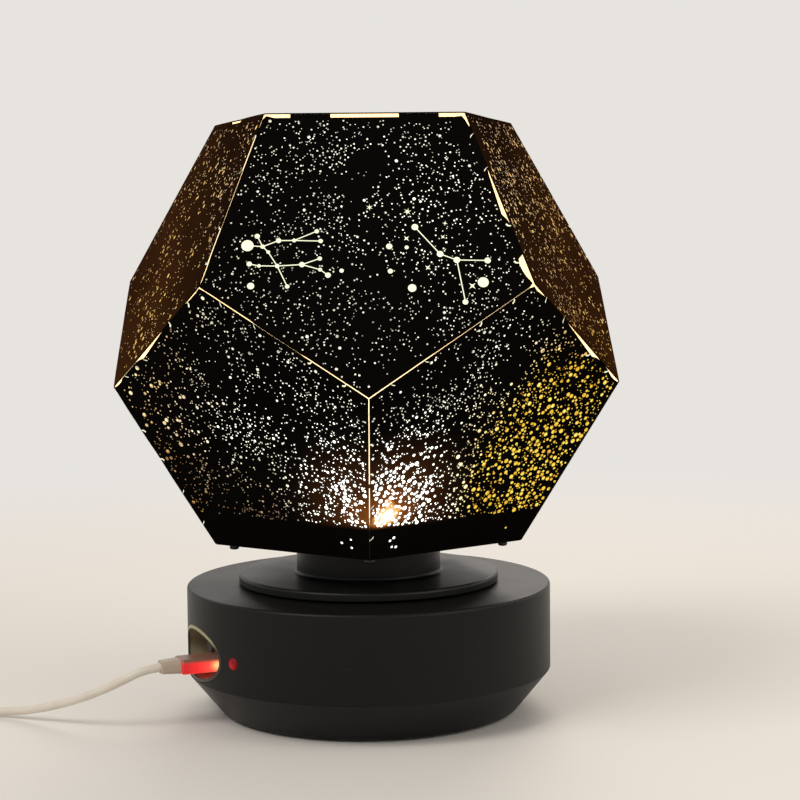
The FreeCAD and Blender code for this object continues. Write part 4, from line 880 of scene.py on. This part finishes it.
class StarSheet:
    """Windows through one film panel, kept clear of each other and of the edges."""

    def __init__(self, panel):
        self.panel = panel
        self.mesh = bmesh.new()
        self.taken = {}

    def near(self, x, y, radius):
        """Whether a window there would touch one already placed."""
        reach = int((radius + LARGEST_STAR) / STAR_CELL) + 1
        column, row = int(x // STAR_CELL), int(y // STAR_CELL)
        return any(math.hypot(x - other_x, y - other_y) < radius + other + STAR_SPACING
                   for i in range(column - reach, column + reach + 1)
                   for j in range(row - reach, row + reach + 1)
                   for other_x, other_y, other in self.taken.get((i, j), ()))

    def claim(self, x, y, radius):
        key = (int(x // STAR_CELL), int(y // STAR_CELL))
        self.taken.setdefault(key, []).append((x, y, radius))

    def window(self, outline):
        """A closed plug through the film along an outline of (right, up) places."""
        slab(self.mesh, *([self.mesh.verts.new(self.panel.point(x, y, depth)) for x, y in outline]
                          for depth in (-STAR_PROUD, FILM + STAR_PROUD)))

    def burst(self, x, y, radii, turn):
        """Window with a corner at each radius in turn, all round a place."""
        outline = []
        for k, radius in enumerate(radii):
            angle = turn + 2.0 * math.pi * k / len(radii)
            outline.append((x + radius * math.cos(angle), y + radius * math.sin(angle)))
        self.window(outline)
        self.claim(x, y, radii[0])

    def star(self, x, y, radius, turn=0.0):
        self.burst(x, y, [radius] * next(sides for limit, sides in STAR_SIDES if radius < limit), turn)

    def cross(self, x, y, size, arms, turn):
        """Small star of thin arms."""
        self.burst(x, y, [size, size * CROSS_WAIST] * arms, math.radians(turn))

    def line(self, first, second):
        """Thin line window between two stars, stopping at both."""
        (x1, y1, r1), (x2, y2, r2) = first, second
        length = math.hypot(x2 - x1, y2 - y1)
        ux, uy = (x2 - x1) / length, (y2 - y1) / length
        start, end = r1 * 0.98, length - r2 * 0.98
        half = LINE_WIDTH / 2.0
        outline = [(x1 + ux * s - uy * w, y1 + uy * s + ux * w)
                   for s, w in ((start, -half), (end, -half), (end, half), (start, half))]
        self.window(outline)
        steps = max(2, int(length / LINE_CLAIM))
        for k in range(steps + 1):
            s = start + (end - start) * k / steps
            self.claim(x1 + ux * s, y1 + uy * s, half + 0.2 * MM)

    def figure(self, shape):
        places, pairs = shape
        stars = [(x * MM, y * MM, r * MM * FIGURE_STAR) for x, y, r in places]
        for x, y, radius in stars:
            self.star(x, y, radius)
        for first, second in pairs:
            self.line(stars[first], stars[second])

    def hook(self, index, share):
        """Short bent slit from a seam into the panel, where a tab's end turns in."""
        start, end = self.panel.edge_at(index)
        along = (end - start).normalized()
        inward = self.panel.normal.cross(along)
        base = start + (end - start) * share + inward * self.panel.gap(index, share)
        turn = 1.0 if share < 0.5 else -1.0
        half = HOOK_WIDTH / 2.0
        outline = []
        for side in (-1.0, 1.0):
            row = []
            for step, depth in HOOK_PLACES:
                spot = base + along * (step * MM * turn + side * half * 0.6)
                row.append(self.panel.flat(spot + inward * (depth * MM - side * half)))
            outline += row if side < 0 else row[::-1]
        self.window(outline)
        self.claim(*outline[1], HOOK_CLAIM)

    def finish(self, name):
        return add_piece(self.panel.node.replace("film", name), self.mesh)


def lamp_side(panel, spot, reach):
    """0 beyond a reach from the lamp's hot spot, rising to the film's share at it."""
    return max(0.0, 1.0 - (spot - HOT_SPOT).length / reach) * LAMP_SHARE.get(panel.node, 0.0)


def figure_sheet(panel, seams):
    """Line figures, lone stars, crosses, and the slits where tabs turn in beside the seams."""
    sheet = StarSheet(panel)
    for shape in FIGURES.get(panel.node, ()):
        sheet.figure(shape)
    for x, y, radius in LONE_STARS.get(panel.node, ()):
        sheet.star(x * MM, y * MM, radius * MM)
    for x, y, size, arms, turn in CROSS_STARS.get(panel.node, ()):
        sheet.cross(x * MM, y * MM, size * MM, arms, turn)
    for owner, neighbour, spans in seams:
        level = "upper" in owner.node and "upper" in neighbour.node
        if owner.node == "film_top" or panel is not (owner if level else neighbour):
            continue
        for share in (*spans[0], *spans[1]):
            sheet.hook(shared(panel, neighbour if level else owner), share)
    return sheet


def star_radius(luck, near, patch, hot):
    """Window size by chance: larger near the lamp, in the golden patch and at the hot spot."""
    pick = luck.random()
    if luck.random() < hot:
        return luck.uniform(*HOT_STAR)
    if luck.random() < patch * 0.75:
        return luck.uniform(*GOLDEN_STAR)
    if pick < 0.68 - near * 0.5:
        return luck.uniform(*FINE_STAR)
    if pick < 0.95 - near * 0.45:
        return luck.uniform(*SMALL_STAR)
    return luck.uniform(*BRIGHT_STAR)


def crowding(panel, spot):
    """The chance of a window there, and how near the lamp and how far in the patch its size goes."""
    cloud = noise.noise(spot * 42.0) * 0.4 + noise.noise(spot * 120.0) * 0.45
    if panel.node in CLUSTERED:
        return 0.14 + cloud * 0.42, -0.08, 0.27
    near = lamp_side(panel, spot, CROWD_REACH)
    patch = max(0.0, 1.0 - (spot - GOLDEN_PATCH).length / PATCH_REACH) ** 0.6
    sideways = min(1.0, max(0.0, (abs(spot.x) - SIDE_FROM) / SIDE_REACH))
    chance = 0.29 + cloud * 0.65 + near * 0.45
    if "lower" in panel.node:
        return chance + (patch * 0.55 - 0.06 * sideways), near, max(patch, 0.16 * sideways)
    return chance - 0.05, -0.08, patch


def star_crowd(panel, figures):
    """The crowd of small windows of one panel, clear of its figures."""
    sheet = StarSheet(panel)
    sheet.taken = figures.taken
    for x, y, radius in SHADED_BAND_STARS.get(panel.node, ()):
        sheet.star(x * MM, y * MM, radius * MM)
    luck = random.Random(panel.seed)
    reach = (panel.corners[0] - panel.centre).length
    lowest = min(corner.z for corner in panel.corners)
    placed = 0
    wanted = FEWER_STARS.get(panel.node, STARS_PER_PANEL)
    for attempt in range(STARS_PER_PANEL * TRIES_PER_STAR):
        x, y = luck.uniform(-reach, reach), luck.uniform(-reach, reach)
        if placed >= wanted or not panel.inside(x, y, STAR_MARGIN):
            continue
        spot = panel.point(x, y)
        # Painted shade: the band over the tray's wall gets no windows
        if "lower" in panel.node and spot.z - lowest < SHADED_BAND_HEIGHT:
            continue
        chance, near, patch = crowding(panel, spot)
        hot = lamp_side(panel, spot, HOT_REACH) ** 0.5
        if luck.random() > chance + hot:
            continue
        radius = star_radius(luck, near, patch, hot)
        if sheet.near(x, y, radius):
            continue
        sheet.star(x, y, radius, luck.uniform(0.0, math.pi))
        placed += 1
    return sheet


# Cable

# The same route as the model's, in metres, eased towards the photograph
CABLE_ROUTE = [Vector(p) * MM for p in (
    (-75.4, -29.7, 20.1),
    (-81.4, -30.6, 17.3),
    (-89.4, -29.0, 13.3),
    (-98.2, -25.2, 9.4),
    (-107.5, -19.8, 6.0),
    (-117.0, -14.0, 3.2),
    (-127.6, -8.8, 1.7),
    (-138.8, -5.6, 1.55),
    (-150.6, -4.05, 1.55),
)]
CABLE_EXIT = 75.35 * MM
CABLE_RADIUS = 1.5 * MM
CABLE_CLEARANCE = 0.05 * MM
TAIL_LEVEL = 4.0 * MM
COIL_OUTER = 23.25 * MM
COIL_INNER = 12.75 * MM
COIL_TURNS_IN = 3.0
COIL_TURNS_OUT = 2.75
COIL_REVERSAL = 0.5
LAYER_PITCH = 3.45 * MM
POINTS_PER_TURN = 16
COIL_CENTRE = Vector((-163.0, 19.2, 0.0)) * MM


def coil_point(turns):
    """Centre of the coiled cable after so many turns, wound clockwise from its front."""
    pitch = (COIL_OUTER - COIL_INNER) / COIL_TURNS_IN
    back = turns - COIL_TURNS_IN - COIL_REVERSAL
    if turns <= COIL_TURNS_IN:
        radius, climb = COIL_OUTER - pitch * turns, 0.0
    elif back >= 0:
        radius, climb = COIL_INNER + pitch * back, 1.0
    else:
        share = (turns - COIL_TURNS_IN) / COIL_REVERSAL
        radius = COIL_INNER - pitch * COIL_REVERSAL * share * (1.0 - share)
        climb = share * share * (3.0 - 2.0 * share)
    angle = math.radians(-90.0 - 360.0 * turns)
    height = CABLE_RADIUS + CABLE_CLEARANCE + LAYER_PITCH * climb
    return COIL_CENTRE + Vector((radius * math.cos(angle), radius * math.sin(angle), height))


def cable_points():
    """Control points of the whole cable from the strain relief to the far plug."""
    exit_point = PORT_WAY * CABLE_EXIT + Vector((0, 0, PLUG_LEVEL))
    total = COIL_TURNS_IN + COIL_REVERSAL + COIL_TURNS_OUT
    count = int(total * POINTS_PER_TURN)
    coil = [coil_point(total * k / count) for k in range(count + 1)]
    tail_low, tail_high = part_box("usb_cable_tail")
    across = (tail_low.x + tail_high.x) / 2.0
    near, far = tail_low.y, tail_high.y
    tail = [
        Vector((across, near + (far - near) * 0.3, coil[-1].z)),
        Vector((across, near + (far - near) * 0.7, TAIL_LEVEL)),
        Vector((across, far, TAIL_LEVEL)),
    ]
    return [exit_point] + CABLE_ROUTE + coil + tail


def cable():
    points = cable_points()
    curve = bpy.data.curves.new("usb_cable", "CURVE")
    curve.dimensions = "3D"
    curve.bevel_depth = CABLE_RADIUS
    curve.bevel_resolution = 5
    curve.use_fill_caps = True
    curve.resolution_u = 6
    spline = curve.splines.new("NURBS")
    spline.points.add(len(points) - 1)
    for point, place in zip(spline.points, points):
        point.co = (*place, 1.0)
    spline.order_u = 3
    spline.use_endpoint_u = True
    piece = add_object("usb_cable", curve)
    piece.data.materials.append(cable_finish().material)
    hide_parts("usb_cable_run", "usb_cable_coil", "usb_cable_tail")
    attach(piece, "charging_cable")


# Assembly of the looks

def dress(names, finish):
    """Give carried-over pieces their finish."""
    for name in names.split():
        piece = frame["nodes"][name]
        piece.data.materials.clear()
        piece.data.materials.append(finish.material)


def dress_all():
    dress("base_housing base_plate", base_finish())
    dress("turntable", moulded("deck_black", (0.004, 0.004, 0.004), 0.36, 1800.0, 0.03 * MM,
                               Specular_IOR_Level=0.18))
    dress("globe_tray", moulded("tray_black", (0.004, 0.0038, 0.0036), 0.45, Specular_IOR_Level=0.12))
    dress("film_bottom", moulded("film_under", (0.003, 0.0028, 0.0026), 0.42, 600.0,
                                 Specular_IOR_Level=0.1))
    dress("press_rivets", moulded("rivet_black", (0.005, 0.005, 0.005), 0.3, Specular_IOR_Level=0.3))
    dress("port_recess", recess_finish())
    dress("light_button spin_button", moulded("button_grey", (0.05, 0.048, 0.045), 0.45))
    dress("rubber_feet", moulded("foot_rubber", (0.02, 0.02, 0.02), 0.75, 900.0, 0.08 * MM))
    dress("drive_gear motor_pinion thrust_washer motor_bracket",
          moulded("nylon", (0.72, 0.69, 0.60), 0.42, 800.0))
    dress("lamp_post", moulded("post_white", (0.62, 0.6, 0.54), 0.5, 800.0))
    dress("board_connectors", moulded("connector_nylon", (0.75, 0.72, 0.62), 0.4))
    dress("board_chips button_switches led_holder", moulded("chip_epoxy", (0.02, 0.02, 0.02), 0.5))
    dress("battery", moulded("cell_foil", (0.36, 0.38, 0.42), 0.3, 500.0))
    dress("main_board", board_finish())
    dress("lamp_board", moulded("lamp_board_mask", (0.78, 0.77, 0.73), 0.35))
    dress("battery_leads lamp_leads motor_leads", lead_finish())
    dress("case_screws board_screws lamp_post_screws motor_screws",
          metal("zinc_plate", (0.62, 0.62, 0.64), 0.3))
    dress("retaining_ring output_shaft", metal("spring_steel", (0.36, 0.36, 0.38), 0.35))
    dress("usb_socket usb_plug_nose host_plug_shell", metal("tin_plate", (0.74, 0.73, 0.71), 0.22))
    dress("motor_can", metal("motor_nickel", (0.6, 0.59, 0.57), 0.28))
    dress("motor_gearbox", metal("gearbox_brass", (0.70, 0.52, 0.22), 0.3))
    dress("lamp_led_warm", lit_plastic("led_warm", (1.0, 0.85, 0.6), (1.0, 0.86, 0.55), 14.0))
    dress("lamp_leds_colour", lit_plastic("led_idle", (0.8, 0.78, 0.6), (0.3, 0.25, 0.1), 0.3))
    dress("indicator_lens", lens_finish())
    dress("indicator_led", lit_plastic("led_red", (0.6, 0.02, 0.02), (1.0, 0.05, 0.05), 3.0))
    dress("usb_plug_grip", plug_grip_finish())
    dress("usb_strain_relief", moulded("relief_grey", (0.42, 0.34, 0.27), 0.45, 900.0))
    dress("host_plug_grip", moulded("grip_white", (0.70, 0.64, 0.56), 0.42, 900.0))


def globe():
    panels = make_panels()
    set_gaps(panels)
    crease(panels)
    seams = tab_owners(panels)
    outside = film_outside().material
    inside = film_inside().material
    window_glow = star_glow().material
    line_glow = figure_glow().material
    for name, panel in panels.items():
        tabs = [(neighbour, spans) for owner, neighbour, spans in seams if owner is panel]
        film = film_object(panel, tabs, 0 if name == "film_top" else 1)
        film.data.materials.append(outside)
        film.data.materials.append(inside)
        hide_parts(name)
        figures = figure_sheet(panel, seams)
        stars = star_crowd(panel, figures).finish("stars")
        stars.data.materials.append(window_glow)
        lines = figures.finish("figures")
        lines.data.materials.append(line_glow)
        for piece in (film, stars, lines):
            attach(piece, "globe")


# Stage

def floor():
    """Pale floor that fades into the backdrop's colour away from the object."""
    mesh = bpy.data.meshes.new("floor")
    quarters = ((-1, -1), (1, -1), (1, 1), (-1, 1))
    corners = [(x * FLOOR_REACH, y * FLOOR_REACH, -FLOOR_DROP) for x, y in quarters]
    mesh.from_pydata(corners, [], [(0, 1, 2, 3)])
    piece = add_object("floor", mesh)
    finish = Finish("floor_pale", FLOOR_COLOUR, 0.6, Specular_IOR_Level=0.2)
    away = finish.node("ShaderNodeVectorMath", {"operation": "LENGTH"}, {0: finish.place()}, output="Value")
    fade = ((away - FLOOR_NEAR) / FLOOR_FADE).clamp()
    fade = fade * fade * (3.0 - 2.0 * fade)
    seen = finish.node("ShaderNodeLightPath", output="Is Camera Ray")
    backdrop = finish.node("ShaderNodeEmission", None, {"Color": BACK_COLOUR, "Strength": 1.0})
    lit = Value(finish, finish.shader.outputs[0])
    surface = finish.node("ShaderNodeMixShader", None, {0: fade * seen, 1: lit, 2: backdrop})
    finish.tree.nodes.remove(finish.tree.nodes["Material Output"])
    finish.node("ShaderNodeOutputMaterial", None, {"Surface": surface})
    piece.data.materials.append(finish.material)


def world():
    """Pale surroundings, seen as they are by the camera and in reflections, and dimmer as light."""
    sky = bpy.data.worlds.new("studio")
    bpy.context.scene.world = sky
    sky.use_nodes = True
    sky.node_tree.nodes.clear()
    air = Shading(sky.node_tree)
    seen = air.node("ShaderNodeBackground", None, {"Color": BACK_COLOUR, "Strength": 1.0})
    light = air.node("ShaderNodeBackground", None, {"Color": WORLD_LIGHT, "Strength": WORLD_STRENGTH})
    to_eye, in_gloss, through = (air.node("ShaderNodeLightPath", output="Is %s Ray" % kind)
                                 for kind in ("Camera", "Glossy", "Transmission"))
    shown = (to_eye + (in_gloss + through)).clamp()
    surface = air.node("ShaderNodeMixShader", None, {0: shown, 1: light, 2: seen})
    air.node("ShaderNodeOutputWorld", None, {"Surface": surface})


def lights():
    for name, place, width, power, colour in LIGHTS:
        light = bpy.data.lights.new(name, "AREA")
        light.shape = "SQUARE"
        light.size = width
        light.energy = power
        light.color = colour
        lamp = add_object(name, light)
        lamp.location = place
        lamp.rotation_euler = (LIGHT_AIM - Vector(place)).to_track_quat("-Z", "Y").to_euler()


def camera():
    data = bpy.data.cameras.new("camera")
    data.lens = CAMERA_LENS
    data.sensor_width = CAMERA_SENSOR
    data.clip_start = CAMERA_NEAREST
    piece = add_object("camera", data)
    bpy.context.scene.camera = piece
    turn = (Matrix.Rotation(-CAMERA_YAW, 4, "Z") @ Matrix.Rotation(math.pi / 2.0 + CAMERA_PITCH, 4, "X")
            @ Matrix.Rotation(CAMERA_ROLL, 4, "Z"))
    piece.matrix_world = Matrix.Translation(CAMERA_PLACE) @ turn


bpy.context.scene.view_settings.view_transform = "Standard"
camera()
cable()
dress_all()
globe()
floor()
world()
lights()
